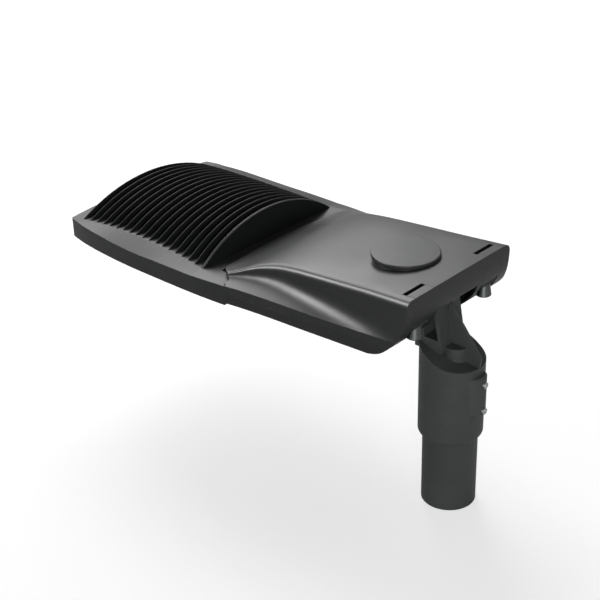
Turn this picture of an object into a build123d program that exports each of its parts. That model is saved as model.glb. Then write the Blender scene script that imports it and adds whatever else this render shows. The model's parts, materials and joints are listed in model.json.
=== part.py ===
from build123d import *
import math
import os

# The shapes are drawn with z = 0 on the top rim of the housing and are raised by
# RIM_HEIGHT when they are saved, so the finished part stands on the centre of the
# lower end of its pole stub. Forward, towards the road, is -X; up is +Z.

# Overall
RIM_HEIGHT = 300.0          # rim of the housing above the lower end of the stub
HOUSING_DEPTH = 29.3        # rim to underside of the LED section
FRONT_TIP_X = -619.0        # foremost point of the bowed front edge
FRONT_CORNER_X = -608.5
FRONT_CORNER_Y = 141.0
JUNCTION_X = -273.4         # where the cover meets the side of the housing
OVERRUN = 25.0              # how far cutting shapes reach past the body

# Heat-sink fins
FIN_COUNT = 19
FIRST_FIN_X = -589.5
LAST_FIN_X = -335.9
FIN_THICKNESS = 2.2
END_WALL_THICKNESS = 5.0
FIRST_FIN_PEAK = 34.5
LAST_FIN_PEAK = 47.0
CREASE_END_Y = 133.6        # half width of the finned field at its two ends
CREASE_MIDDLE_Y = 129.0
CREASE_RISE = 6.3           # rise of the finned field's edge at mid length
SIDE_DIP = 3.0              # dip of the side wall's top edge at mid length
STRIP_DIP = 2.2

# Gear tray and cover
TRAY_FRONT_DEPTH = 26.0     # underside of the tray at the junction
TRAY_REAR_DEPTH = 33.5      # underside of the tray at the stern
CRISP_DROP = 6.0            # fall of the cover's crisp edge from junction to stern
STERN_X = -5.0
COVER_RIM = 12.6            # crisp edge down to the seam
SEAM_GAP = 0.8
COVER_WALL = 2.6
SHOULDER_OUT = 8.0          # side face of the ridge outside the shoulder line
UPSTAND = 2.6
FLOOR = 3.2
TRAY_INNER_FRONT_X = -286.5
TRAY_INNER_REAR_X = -39.0
TRAY_INNER_FRONT_Y = 106.5  # half width of the gear compartment at its front
TRAY_INNER_REAR_Y = 98.0
TRAY_CORNER = 9.0
TRAY_WALL = 5.0
SEAL_FRONT_Z = 2.0          # top of the upstand at the front and at the rear
SEAL_REAR_Z = 20.0
SEAL_THICKNESS = 2.5
SHELF_THICKNESS = 2.4
SHELF_OVERLAP = 4.5         # reach of the cover's shelf past the upstand's faces

# Cover hinge
HINGE_X = -302.0
HINGE_Z = -1.8
HINGE_PIN_RADIUS = 2.0
HINGE_EYE_RADIUS = 3.9
HINGE_CENTRE_Y = 84.0
HINGE_EYE_LENGTH = 20.0
HINGE_LUG = 6.0
HINGE_LUG_FRONT = 2.5       # reach of a lug's foot in front of the pin
HINGE_SIDE_GAP = 0.5
RUNNING_FIT = 0.05
GUTTER_DEPTH = 11.0
GUTTER_REAR_X = -291.5
GUTTER_GAP = 3.2            # between the nose and the gutter's front edge at mid width
NOSE_SWING = 6.2            # room for the nose's shoulders when the cover swings up
GUTTER_HALF_WIDTH = 120.0

# Closing straps and thumb screws
NOTCH_INNER_Y = 55.0
NOTCH_OUTER_Y = 93.5
NOTCH_FRONT_X = -12.5
STRAP_FRONT_X = -5.5
STRAP_SIDE_GAP = 0.5
STRAP_THICKNESS = 3.0
STRAP_SCREW_Z = 29.0
STRAP_FOOT_Z = 9.4
STRAP_FOOT_THICKNESS = 5.6
LUG_TOP_Z = 8.6
LUG_THICKNESS = 5.0
KNOB_X = -6.4
KNOB_Y = 75.0
KNOB_BOTTOM_Z = -14.6
KNOB_TOP_Z = 3.2
KNOB_BOTTOM_RADIUS = 10.9
KNOB_TOP_RADIUS = 8.2
STUD_RADIUS = 3.0
STUD_CLEARANCE = 0.5

# Control socket and its cap
CAP_X = -81.0
CAP_TOP_Z = 56.2
CAP_HEIGHT = 4.5
CAP_RADIUS = 46.7
CAP_GAP = 0.5
PAD_RADIUS = 45.0
SOCKET_RADIUS = 33.0
SOCKET_BOTTOM_Z = 27.0
SOCKET_TOP_Z = 51.2
SOCKET_GAP = 0.2
SOCKET_RING_Z = 36.0        # underside of the cover's ring round the socket
SOCKET_FLANGE_RADIUS = 41.0
SOCKET_SEAL = 2.0
SOCKET_FLANGE = 3.0
SOCKET_SCREW_RADIUS = 1.5
PIVOT_RADIUS = 7.0
BLADE_RING = 19.0
BLADE_THICKNESS = 1.6
BLADE_SPAN = 34.0           # degrees of arc taken by one blade
CAP_TURN = 30.0
BLADE_STARTS = (60, 180, 300)

# Bracket and pole
POLE_RADIUS = 38.0
POLE_WALL = 3.2
POLE_TOP_Z = -96.0
SOCKET_OUTER_RADIUS = 44.7
POLE_CLEARANCE = 0.4
SLEEVE_BOTTOM_Z = -190.0
FLANGE_TOP_Z = 14.0
FLANGE_THICKNESS = 7.0
FLANGE_HALF_WIDTH = 39.6
FLANGE_REAR_X = -4.3
FLANGE_FRONT_X = -86.0
NECK_HALF_WIDTH = 25.0
NECK_FRONT_X = -72.0
HUB_X = 6.3
HUB_RADIUS = 17.5
HUB_TOP_Z = -53.0
RIB_THICKNESS = 3.4
SET_SCREW_HEIGHTS = (-98.6, -138.6)
SET_SCREW_RADIUS = 4.5
SET_SCREW_REACH = 56.0
FLANGE_BOLTS = ((-73.0, -32.5), (-73.0, 32.5), (-20.0, -32.5), (-20.0, 32.5))
BOLT_RADIUS = 3.0
BOLT_HEAD_HEIGHT = 4.6
WASHER_RADIUS = 6.2
WASHER_THICKNESS = 1.4
BOLT_DEPTH = 6.5            # reach of a bolt into the pocket's roof
THREAD_GAP = 0.1
CABLE_HOLE_X = -57.0
CABLE_CHANNEL_RADIUS = 12.0
GLAND_RADIUS = 8.0
GLAND_BORE = 4.5

# Pocket of the tray over the flange
POCKET_HALF_WIDTH = 43.0
POCKET_FRONT_X = -90.0
POCKET_ROOF = 3.6

# LED compartment
GLASS_FRONT_X = -595.0
GLASS_REAR_X = -345.0
GLASS_HALF_WIDTH = 132.0
GLASS_THICKNESS = 4.0
GLASS_SEAL = 1.5
GLASS_LEDGE = 6.0
FRAME_THICKNESS = 3.0
FRAME_LAND = 7.0
CEILING_Z = -6.0
STRIP_CEILING_Z = -14.0
BOARD_THICKNESS = 1.6
BOARD_LENGTH = 228.0
BOARD_WIDTH = 112.0
BOARD_CENTRE_X = -469.0
BOARD_CENTRE_Y = 60.0
LED_ROWS = 4
LED_COLUMNS = 8
LED_SIZE = 5.0
LED_HEIGHT = 0.8
LENS_PLATE = 2.0
LENS_STANDOFF = 1.4
LENS_RADIUS = 9.5
LENS_HEIGHT = 5.5

# Gear compartment
PLATE_Z = -19.0             # underside of the gear plate
PLATE_THICKNESS = 1.5
PLATE_FRONT_X = -279.0
PLATE_REAR_X = -98.0
PLATE_HALF_WIDTH = 97.0
SMALL_SCREW_RADIUS = 2.0
BREATHER_X = -65.0
BREATHER_Y = 80.0
BREATHER_RADIUS = 6.0

# Boxes on the gear plate: x from and to, y from and to, height
DRIVER = (-262.0, -112.0, -62.0, 6.0, 32.0)
SURGE = (-255.0, -200.0, 32.0, 70.0, 24.0)
TERMINALS = (-172.0, -124.0, 30.0, 76.0, 18.0)
EARTH_PLACE = (-150.0, 90.0)
TAB = 8.0                   # length of the fixing tabs
TAB_THICKNESS = 2.0

NEAR, FAR = -1, 1


def save(shape, name):
    """Raise a finished shape to its real height and write it."""
    raised = Pos(0, 0, RIM_HEIGHT) * shape
    export_step(raised, "parts/" + name + ".step")


def mirrored(shape):
    return mirror(shape, about=Plane.XZ)


def group(shapes):
    return Compound(children=list(shapes))


def slab(x0, x1, y0, y1, z0, z1):
    """A block between two corners."""
    box = Box(x1 - x0, y1 - y0, z1 - z0)
    return Pos((x0 + x1) / 2, (y0 + y1) / 2, (z0 + z1) / 2) * box


def post(x, y, z0, z1, radius):
    """An upright cylinder between two heights."""
    return Pos(x, y, (z0 + z1) / 2) * Cylinder(radius, z1 - z0)


def cone(x, y, z0, z1, radius0, radius1):
    """An upright cone between two heights."""
    return Pos(x, y, (z0 + z1) / 2) * Cone(radius0, radius1, z1 - z0)


def cross_rod(x, z, y0, y1, radius):
    """A cylinder lying along Y."""
    rod = Rot(90, 0, 0) * Cylinder(radius, y1 - y0)
    return Pos(x, (y0 + y1) / 2, z) * rod


def along_x(x0, x1, y, z, radius):
    """A cylinder lying along X."""
    rod = Rot(0, 90, 0) * Cylinder(radius, x1 - x0)
    return Pos((x0 + x1) / 2, y, z) * rod


def hexagon(x, y, z0, z1, radius):
    """An upright hexagonal bar between two heights."""
    return extrude(Pos(x, y, z0) * RegularPolygon(radius, 6), z1 - z0)


def side_profile(edges, half_width):
    """A shape drawn in the XZ plane and thickened evenly to both sides."""
    face = make_face(Plane.XZ * edges)
    return extrude(face, half_width, both=True)


def upright(face, z0, z1):
    """A plan outline extruded between two heights."""
    return extrude(Pos(0, 0, z0) * face, z1 - z0)


def crisp_z(x):
    """Height of the cover's crisp lower edge."""
    return -CRISP_DROP * (x - JUNCTION_X) / (STERN_X - JUNCTION_X)


def seal_z(x):
    """Height of the upstand's top edge."""
    run = TRAY_INNER_REAR_X - TRAY_INNER_FRONT_X
    return SEAL_FRONT_Z + (SEAL_REAR_Z - SEAL_FRONT_Z) * (x - TRAY_INNER_FRONT_X) / run


def tray_bottom_z(x):
    """Height of the tray's underside."""
    share = (x - JUNCTION_X) / (STERN_X - JUNCTION_X)
    return -TRAY_FRONT_DEPTH - (TRAY_REAR_DEPTH - TRAY_FRONT_DEPTH) * share


# Half widths of the plan, from the front corner to behind the stern
LED_SIDE = [(FRONT_CORNER_X, FRONT_CORNER_Y), (-583, 147), (-531, 153.5), (-462, 157),
            (-400, 156.8), (-340, 155.8), (-300, 153.8), (JUNCTION_X, 151.6)]
REAR_SIDE = [(JUNCTION_X, 151.6), (-236, 144.8), (-208, 141), (-149, 134.3),
             (-72, 125.2), (OVERRUN, 113.5)]

# Front edge of the cover in plan, from the side of the housing to the middle
NOSE_JOG = [(JUNCTION_X, 151.6), (-277.6, 146), (-277.6, 138), (-286, 131), (-298.5, 122.5),
            (-304, 112)]
NOSE_FRONT = [(-304, 112), (-306.5, 75), (-310, 40), (-311.6, 0)]

# Stations along the cover: x, half width and height of the shoulder, height at the middle,
# half width of the crisp edge
COVER_STATIONS = [
    (-320, 134.0, 3.4, 4.0, 161.0),
    (-300, 131.0, 5.8, 8.4, 158.6),
    (-285, 125.0, 9.8, 13.6, 156.4),
    (-272, 118.6, 14.6, 19.0, 154.4),
    (-260, 113.0, 20.0, 23.8, 152.0),
    (-245, 107.6, 25.4, 28.4, 149.0),
    (-230, 103.8, 29.6, 32.0, 146.2),
    (-215, 101.6, 32.9, 34.9, 143.6),
    (-200, 100.8, 35.4, 37.0, 141.2),
    (-180, 100.6, 37.8, 39.0, 138.4),
    (-130, 100.6, 42.4, 43.2, 132.4),
    (-60, 100.6, 48.5, 49.2, 124.2),
    (OVERRUN, 103.4, 55.2, 55.8, 113.9),
]

# Rear face seen from the side, x against height
STERN = [(9.2, 62), (8.6, 50), (7.7, 34), (6.1, 22), (3.1, 10), (-1.3, 0), (-6.6, -8),
         (-13.9, -16), (-20.6, -22.2), (-28.5, -27.6), (-38.0, -31.0), (-49.0, -32.6),
         (-62.0, -33.0)]


def moved_in(points, distance):
    """The points of one side, front to rear or rear to front, moved towards the inside."""
    turn = 1 if points[-1][0] > points[0][0] else -1
    moved = []
    for index, (x, y) in enumerate(points):
        normals = []
        for first in (index - 1, index):
            if 0 <= first < len(points) - 1:
                dx = points[first + 1][0] - points[first][0]
                dy = points[first + 1][1] - points[first][1]
                length = math.hypot(dx, dy)
                normals.append((turn * dy / length, -turn * dx / length))
        nx = sum(n[0] for n in normals) / len(normals)
        ny = sum(n[1] for n in normals) / len(normals)
        stretch = distance / (nx * nx + ny * ny)
        moved.append((x + nx * stretch, y + ny * stretch))
    return moved


def both_side_curves(points):
    """A smooth curve through points given for +Y, and the same for -Y."""
    return [Spline(*points), Spline(*[(x, -y) for x, y in points])]


def housing_plan(inset=0.0):
    """Outline of the housing seen from above, moved inwards by inset."""
    side = moved_in(LED_SIDE + REAR_SIDE[1:], inset)
    count = len(LED_SIDE)
    side[0] = (FRONT_CORNER_X + inset, FRONT_CORNER_Y - inset)
    front = ThreePointArc((side[0][0], -side[0][1]), (FRONT_TIP_X + inset, 0), side[0])
    x_end, y_end = side[-1]
    back = Line((x_end, -y_end), (x_end, y_end))
    sides = both_side_curves(side[:count]) + both_side_curves(side[count - 1:])
    face = make_face([front, back] + sides)
    corners = face.vertices().group_by(Axis.X)[0]
    return fillet(corners, 4)


def cover_plan(inset=0.0):
    """Outline of the cover seen from above, moved inwards by inset."""
    points = list(reversed(REAR_SIDE)) + NOSE_JOG[1:] + NOSE_FRONT[1:]
    moved = moved_in(points, inset)
    moved[-1] = (NOSE_FRONT[-1][0] + inset, 0)
    x_end, y_end = moved[0]
    back = Line((x_end, -y_end), (x_end, y_end))
    jog_start = len(REAR_SIDE) - 1
    front_start = jog_start + len(NOSE_JOG) - 1
    half = moved[front_start:]
    nose = half + [(x, -y) for x, y in reversed(half[:-1])]
    sides = both_side_curves(moved[:jog_start + 1])
    sides += both_side_curves(moved[jog_start:front_start + 1])
    return make_face([back, Spline(*nose)] + sides)


def behind_stern(shift=0.0):
    """Everything behind the rear face, moved forward by shift."""
    curve = Spline(*[(x - shift, z) for x, z in STERN])
    x_top, z_top = STERN[0]
    x_low, z_low = STERN[-1]
    far_x = 200.0
    rest = Polyline((x_low - shift, z_low), (x_low - 5 - shift, z_low - 60), (far_x, z_low - 60),
                    (far_x, z_top + 60), (x_top - shift, z_top + 60), (x_top - shift, z_top))
    return side_profile(curve + rest, 250)


def below_seam(gap=0.0):
    """The space under the line where cover and housing meet, lowered or raised by gap."""
    radius = COVER_RIM - gap
    x_arc = JUNCTION_X + COVER_RIM
    front_x = FRONT_TIP_X - OVERRUN
    corner = CenterArc((x_arc, 0), radius, 180, 90)
    points = [(x_arc, -radius), (OVERRUN, crisp_z(OVERRUN) - radius), (OVERRUN, -80),
              (front_x, -80), (front_x, gap), (x_arc - radius, gap)]
    if gap:
        points.append((x_arc - radius, 0))
    return side_profile(corner + Polyline(*points), 250)


def above_tray_bottom():
    """The space over the sloping underside of the tray."""
    front_x = JUNCTION_X + 1.5
    points = [(front_x, tray_bottom_z(front_x)), (OVERRUN, tray_bottom_z(OVERRUN)), (OVERRUN, 90),
              (FRONT_TIP_X - OVERRUN, 90), (FRONT_TIP_X - OVERRUN, -HOUSING_DEPTH),
              (front_x - 2, -HOUSING_DEPTH)]
    return side_profile(Polyline(*points, close=True), 250)


def under_seal(raise_by):
    """The space under the sloping seal line, raised by a distance."""
    x0, x1 = -420.0, 60.0
    points = [(x0, seal_z(x0) + raise_by), (x1, seal_z(x1) + raise_by), (x1, -120), (x0, -120)]
    return side_profile(Polyline(*points, close=True), 250)


def roof_section(x, crease_y, crease_z, side_y, side_z):
    """Cross-section of the LED section's top: flat field and sloping outer strips."""
    outer_y = side_y + OVERRUN
    slope = (crease_z - side_z) / (side_y - crease_y)
    outer_z = side_z - slope * OVERRUN
    points = [(-outer_y, -60), (outer_y, -60), (outer_y, outer_z), (crease_y, crease_z),
              (-crease_y, crease_z), (-outer_y, outer_z)]
    return Plane.YZ.offset(x) * make_face(Polyline(*points, close=True))


def fin_x(index):
    """Position of one fin's middle plane."""
    return FIRST_FIN_X + (LAST_FIN_X - FIRST_FIN_X) * index / (FIN_COUNT - 1)


def field_share(x):
    """-1 at the first fin, 0 at mid length, 1 at the last fin."""
    return (2 * x - FIRST_FIN_X - LAST_FIN_X) / (LAST_FIN_X - FIRST_FIN_X)


def field_edge(x):
    """Half width and height of the finned field's edge."""
    t = field_share(x)
    half_width = CREASE_MIDDLE_Y + (CREASE_END_Y - CREASE_MIDDLE_Y) * t * t
    return half_width, CREASE_RISE * (1 - t * t)


def led_roof():
    """The space under the top surface of the LED section and the strip behind it."""
    sections = []
    for index in range(FIN_COUNT):
        x = fin_x(index)
        half_width, height = field_edge(x)
        dip = -SIDE_DIP * (1 - field_share(x) ** 2)
        if x > FIRST_FIN_X + 1:
            dip = min(dip, -STRIP_DIP)
        sections.append(roof_section(x, half_width, height, 155.5, dip))
    roof = loft(sections, ruled=True)
    roof += slab(FRONT_TIP_X - OVERRUN, FIRST_FIN_X, -180, 180, -60, 0)
    start = roof_section(LAST_FIN_X, CREASE_END_Y, 0, 155.5, -STRIP_DIP)
    end = roof_section(JUNCTION_X, 151.0, 0, 155.5, 0)
    roof += loft([start, end], ruled=True)
    roof += slab(JUNCTION_X, OVERRUN, -180, 180, -60, 0)
    return roof


def fin(index):
    """One arched cross fin."""
    x = fin_x(index)
    peak = FIRST_FIN_PEAK + (LAST_FIN_PEAK - FIRST_FIN_PEAK) * index / (FIN_COUNT - 1)
    half_width, edge_z = field_edge(x)
    arc = ThreePointArc((-half_width, edge_z), (0, peak), (half_width, edge_z))
    foot = Polyline((half_width, edge_z), (half_width, edge_z - 1.5), (-half_width, edge_z - 1.5),
                    (-half_width, edge_z))
    thickness = FIN_THICKNESS if index < FIN_COUNT - 1 else END_WALL_THICKNESS
    face = make_face(Plane.YZ.offset(x - FIN_THICKNESS / 2) * (arc + foot))
    return extrude(face, thickness)


def cooling_fins():
    """All cross fins, standing on the top of the LED section."""
    roof = led_roof()
    return group(fin(index) - roof for index in range(FIN_COUNT))


def led_compartment():
    """The spaces opened from below in the LED section."""
    floor_z = -HOUSING_DEPTH
    frame_face = housing_plan(5) & slab_face(-640, GUTTER_REAR_X - 6, -200, 200)
    space = upright(frame_face, floor_z - 5, floor_z + FRAME_THICKNESS)
    glass_top = floor_z + FRAME_THICKNESS + GLASS_THICKNESS
    space += slab(GLASS_FRONT_X - 1, GLASS_REAR_X + 1, -GLASS_HALF_WIDTH - 1, GLASS_HALF_WIDTH + 1,
                  floor_z, glass_top + GLASS_SEAL)
    space += slab(GLASS_FRONT_X + GLASS_LEDGE, GLASS_REAR_X - GLASS_LEDGE,
                  -GLASS_HALF_WIDTH + GLASS_LEDGE, GLASS_HALF_WIDTH - GLASS_LEDGE, floor_z, CEILING_Z)
    space += slab(GLASS_REAR_X + 8, GUTTER_REAR_X - 11, -118, 118, floor_z, STRIP_CEILING_Z)
    passage = Rot(0, 90, 0) * Cylinder(4.5, 90)
    space += Pos(-320, 40, -18.5) * passage
    return space


def slab_face(x0, x1, y0, y1):
    """A rectangle in plan."""
    return Pos((x0 + x1) / 2, (y0 + y1) / 2) * Rectangle(x1 - x0, y1 - y0)


def ring_plan(growth):
    """Plan of the gear compartment, grown outwards from the upstand's inner face."""
    x0 = TRAY_INNER_FRONT_X - growth
    x1 = TRAY_INNER_REAR_X + growth
    y0 = TRAY_INNER_FRONT_Y + growth
    y1 = TRAY_INNER_REAR_Y + growth
    face = make_face(Polyline((x0, -y0), (x1, -y1), (x1, y1), (x0, y0), close=True))
    return fillet(face.vertices(), TRAY_CORNER + growth)


def gutter():
    """Drain gutter in the strip under the nose of the cover."""
    front_x = NOSE_FRONT[-1][0] - GUTTER_GAP
    reach = slab_face(front_x, GUTTER_REAR_X, -GUTTER_HALF_WIDTH, GUTTER_HALF_WIDTH)
    return upright(cover_plan(-NOSE_SWING) & reach, -GUTTER_DEPTH, 20)


def hinge_lugs(centre_y):
    """The pair of housing lugs at one hinge."""
    lugs = []
    for side in (-1, 1):
        near = HINGE_EYE_LENGTH / 2 + HINGE_SIDE_GAP
        y0, y1 = sorted((centre_y + side * near, centre_y + side * (near + HINGE_LUG)))
        eye = cross_rod(HINGE_X, HINGE_Z, y0, y1, HINGE_EYE_RADIUS)
        foot = slab(HINGE_X - HINGE_LUG_FRONT, HINGE_X + HINGE_EYE_RADIUS, y0, y1,
                    -GUTTER_DEPTH - 0.5, HINGE_Z)
        lugs.append(eye + foot)
    return lugs[0] + lugs[1]


def housing():
    """The lower casting: heat-sink base, strip and gear tray in one piece."""
    body = upright(housing_plan(), -50, 60) & led_roof()
    body &= above_tray_bottom()
    body &= below_seam() + slab(FRONT_TIP_X - OVERRUN, JUNCTION_X - 20, -200, 200, -60, 90)
    body -= led_compartment()
    body -= behind_stern()
    body += upright(ring_plan(UPSTAND), -24, 60) & under_seal(0)
    body -= upright(ring_plan(0), -60, 60) & tray_hollow()
    body -= outer_channel()
    pocket_block = slab(POCKET_FRONT_X - 4, TRAY_INNER_REAR_X + 2, -POCKET_HALF_WIDTH - 4,
                        POCKET_HALF_WIDTH + 4, -25, FLANGE_TOP_Z + POCKET_ROOF)
    body += pocket_block
    back = slab(TRAY_INNER_REAR_X, -17, -POCKET_HALF_WIDTH - 4, POCKET_HALF_WIDTH + 4,
                FLANGE_TOP_Z, FLANGE_TOP_Z + POCKET_ROOF)
    body += back
    for x, y in FLANGE_BOLTS:
        body += post(x, y, FLANGE_TOP_Z, FLANGE_TOP_Z + BOLT_DEPTH + 2, 7.0)
    body -= slab(POCKET_FRONT_X, OVERRUN, -POCKET_HALF_WIDTH, POCKET_HALF_WIDTH, -60, FLANGE_TOP_Z)
    for x, y in FLANGE_BOLTS:
        body -= post(x, y, FLANGE_TOP_Z - 1, FLANGE_TOP_Z + BOLT_DEPTH + 0.5, BOLT_RADIUS + THREAD_GAP)
    body -= post(CABLE_HOLE_X, 0, 0, 40, GLAND_RADIUS + THREAD_GAP)
    for side in (NEAR, FAR):
        body += knob_lug(side)
    body -= gutter()
    for centre_y in (-HINGE_CENTRE_Y, HINGE_CENTRE_Y):
        body += hinge_lugs(centre_y)
        reach = HINGE_EYE_LENGTH / 2 + HINGE_SIDE_GAP + HINGE_LUG
        body -= cross_rod(HINGE_X, HINGE_Z, centre_y - reach - 1, centre_y + reach + 1,
                          HINGE_PIN_RADIUS)
    for x, y in gear_plate_feet():
        body += post(x, y, -29, PLATE_Z, 5.0)
        body -= post(x, y, PLATE_Z - 5, PLATE_Z + 1, SMALL_SCREW_RADIUS + THREAD_GAP)
    for x, y in frame_screws():
        body -= post(x, y, -HOUSING_DEPTH - 1, -HOUSING_DEPTH + FRAME_THICKNESS + 8,
                     SMALL_SCREW_RADIUS + THREAD_GAP)
    body -= post(BREATHER_X, BREATHER_Y, -50, -10, BREATHER_RADIUS + THREAD_GAP)
    return body


def outer_channel():
    """The hollow between the upstand and the tray's outer wall."""
    plan = upright(cover_plan(TRAY_WALL), -60, 0)
    plan &= slab(JUNCTION_X + TRAY_WALL + 6, TRAY_INNER_REAR_X - 2, -200, 200, -60, 0)
    return (plan - upright(ring_plan(UPSTAND), -70, 20)) & tray_hollow()


def tray_hollow():
    """The inside of the tray above its sloping floor."""
    x0, x1 = -420.0, 60.0
    points = [(x0, tray_bottom_z(x0) + FLOOR), (x1, tray_bottom_z(x1) + FLOOR), (x1, 90), (x0, 90)]
    return side_profile(Polyline(*points, close=True), 250)


def knob_lug(side):
    """The lug under one strap, on a wall that stands on the tray's rear rim."""
    y0, y1 = NOTCH_INNER_Y + 3, NOTCH_OUTER_Y - 3
    plate = slab(TRAY_INNER_REAR_X + UPSTAND - 0.5, KNOB_X + 8, y0, y1,
                 LUG_TOP_Z - LUG_THICKNESS, LUG_TOP_Z)
    lug = plate - post(KNOB_X, KNOB_Y, -20, 20, STUD_RADIUS + RUNNING_FIT)
    if side == NEAR:
        return mirrored(lug)
    return lug


def gear_plate_feet():
    """Positions of the bosses that carry the gear plate."""
    return [(-270, -90), (-270, 90), (-106, -90), (-106, 90)]


def frame_screws():
    """Positions of the screws of the glass frame."""
    half = [(-602, 120), (-500, 145), (-403, 147), (-322, 143)]
    return half + [(x, -y) for x, y in half] + [(-606, 0)]


def cover_section(x, shoulder_y, shoulder_z, middle_z, crisp_y, wall):
    """Cross-section of the space under the cover's skin, drawn inwards by wall."""
    edge_z = crisp_z(min(x, STERN_X)) if x > JUNCTION_X else 0.0
    drop = shoulder_z - edge_z
    start = (shoulder_y - 4 - wall, shoulder_z + 0.3 - wall)
    corner = (shoulder_y + SHOULDER_OUT - 1 - wall, shoulder_z - 0.5 - wall)
    turn = (shoulder_y + SHOULDER_OUT - wall, shoulder_z - min(12.0, drop * 0.3) - wall)
    foot = (crisp_y - wall, edge_z - wall)
    steep = (turn[0] + 1.0, turn[1] - (turn[1] - foot[1]) * 0.55)
    hollow = (turn[0] + (foot[0] - turn[0]) * 0.35, foot[1] + (turn[1] - foot[1]) * 0.2)
    low_z = -70.0
    edges = ThreePointArc((-start[0], start[1]), (0, middle_z - wall), start)
    for side in (1, -1):
        shoulder = [(side * y, z) for y, z in (start, corner, turn)]
        flank = [(side * y, z) for y, z in (turn, steep, hollow, foot)]
        edges = edges + Bezier(*shoulder) + Bezier(*flank)
    edges += Polyline(foot, (foot[0], low_z), (-foot[0], low_z), (-foot[0], foot[1]))
    return make_face(Plane.YZ.offset(x) * edges)


def cover_mass(wall=0.0):
    """The solid under the cover's outer skin, drawn inwards by wall."""
    return loft([cover_section(*station, wall) for station in COVER_STATIONS], ruled=True)


def cover():
    """The gear cover with its shelf, hinge eyes and notches."""
    plan = cover_plan()
    outer = cover_mass() & upright(plan, -60, 90)
    outer -= behind_stern()
    inner = cover_mass(COVER_WALL) & upright(cover_plan(COVER_WALL), -60, 90)
    inner -= behind_stern(COVER_WALL)
    shell = outer - inner
    low, high = TRAY_INNER_FRONT_X - SHELF_OVERLAP - UPSTAND, TRAY_INNER_REAR_X + SHELF_OVERLAP + UPSTAND
    shelf = slab(low, high, -200, 200, -40, 80)
    shelf -= upright(ring_plan(-SHELF_OVERLAP), -50, 90)
    shelf &= under_seal(SEAL_THICKNESS + SHELF_THICKNESS) - under_seal(SEAL_THICKNESS)
    shell += shelf & outer
    pad = post(CAP_X, 0, 30, SOCKET_TOP_Z, PAD_RADIUS)
    shell += pad - inner
    shell += post(CAP_X, 0, SOCKET_RING_Z, SOCKET_TOP_Z, SOCKET_FLANGE_RADIUS) & outer
    shell -= post(CAP_X, 0, 0, 90, SOCKET_RADIUS + SOCKET_GAP)
    for x, y in socket_screws():
        shell -= post(x, y, SOCKET_RING_Z - 1, SOCKET_RING_Z + 6, SOCKET_SCREW_RADIUS + THREAD_GAP)
    for side in (NEAR, FAR):
        shell += notch_wall(side) & outer
        shell -= notch(side)
    shell -= below_seam(SEAM_GAP)
    centre_cut = slab(TRAY_INNER_REAR_X + 4, OVERRUN, -POCKET_HALF_WIDTH - 2, POCKET_HALF_WIDTH + 2,
                      -80, FLANGE_TOP_Z + 0.6)
    shell -= centre_cut
    for side in (NEAR, FAR):
        y_mid = side * (NOTCH_INNER_Y + NOTCH_OUTER_Y) / 2
        shell -= along_x(NOTCH_FRONT_X - 10, 0, y_mid, STRAP_SCREW_Z, SMALL_SCREW_RADIUS + THREAD_GAP)
    for centre_y in (-HINGE_CENTRE_Y, HINGE_CENTRE_Y):
        reach = HINGE_EYE_LENGTH / 2 + HINGE_SIDE_GAP + HINGE_LUG + 1
        shell -= cross_rod(HINGE_X, HINGE_Z, centre_y - reach, centre_y + reach,
                           HINGE_EYE_RADIUS + 0.5)
        shell += hinge_eye(centre_y)
        shell -= cross_rod(HINGE_X, HINGE_Z, centre_y - 30, centre_y + 30,
                           HINGE_PIN_RADIUS + RUNNING_FIT)
    return shell


def hinge_eye(centre_y):
    """One hinge eye of the cover with the web that joins it to the nose."""
    y0 = centre_y - HINGE_EYE_LENGTH / 2
    y1 = centre_y + HINGE_EYE_LENGTH / 2
    eye = cross_rod(HINGE_X, HINGE_Z, y0, y1, HINGE_EYE_RADIUS)
    web = slab(HINGE_X, HINGE_X + HINGE_EYE_RADIUS, y0, y1, HINGE_Z, 6.0)
    return eye + web


def notch(side):
    """The slot cut in the rear edge of the cover for one strap and its thumb screw."""
    space = slab(NOTCH_FRONT_X, OVERRUN, NOTCH_INNER_Y, NOTCH_OUTER_Y, -60, 90)
    space += slab(TRAY_INNER_REAR_X + 4, OVERRUN, NOTCH_INNER_Y, NOTCH_OUTER_Y, -60, STRAP_FOOT_Z)
    return mirrored(space) if side == NEAR else space


def notch_wall(side):
    """Walls round one notch that keep the inside of the cover closed."""
    wall = slab(NOTCH_FRONT_X - COVER_WALL, OVERRUN, NOTCH_INNER_Y - COVER_WALL,
                NOTCH_OUTER_Y + COVER_WALL, STRAP_FOOT_Z, 90)
    return mirrored(wall) if side == NEAR else wall


def socket_screws():
    """Positions of the screws that hold the control socket under the cover."""
    middle = (SOCKET_RADIUS + SOCKET_FLANGE_RADIUS) / 2
    places = []
    for degrees in (30, 150, 270):
        angle = math.radians(degrees)
        places.append((CAP_X + middle * math.cos(angle), middle * math.sin(angle)))
    return places


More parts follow.
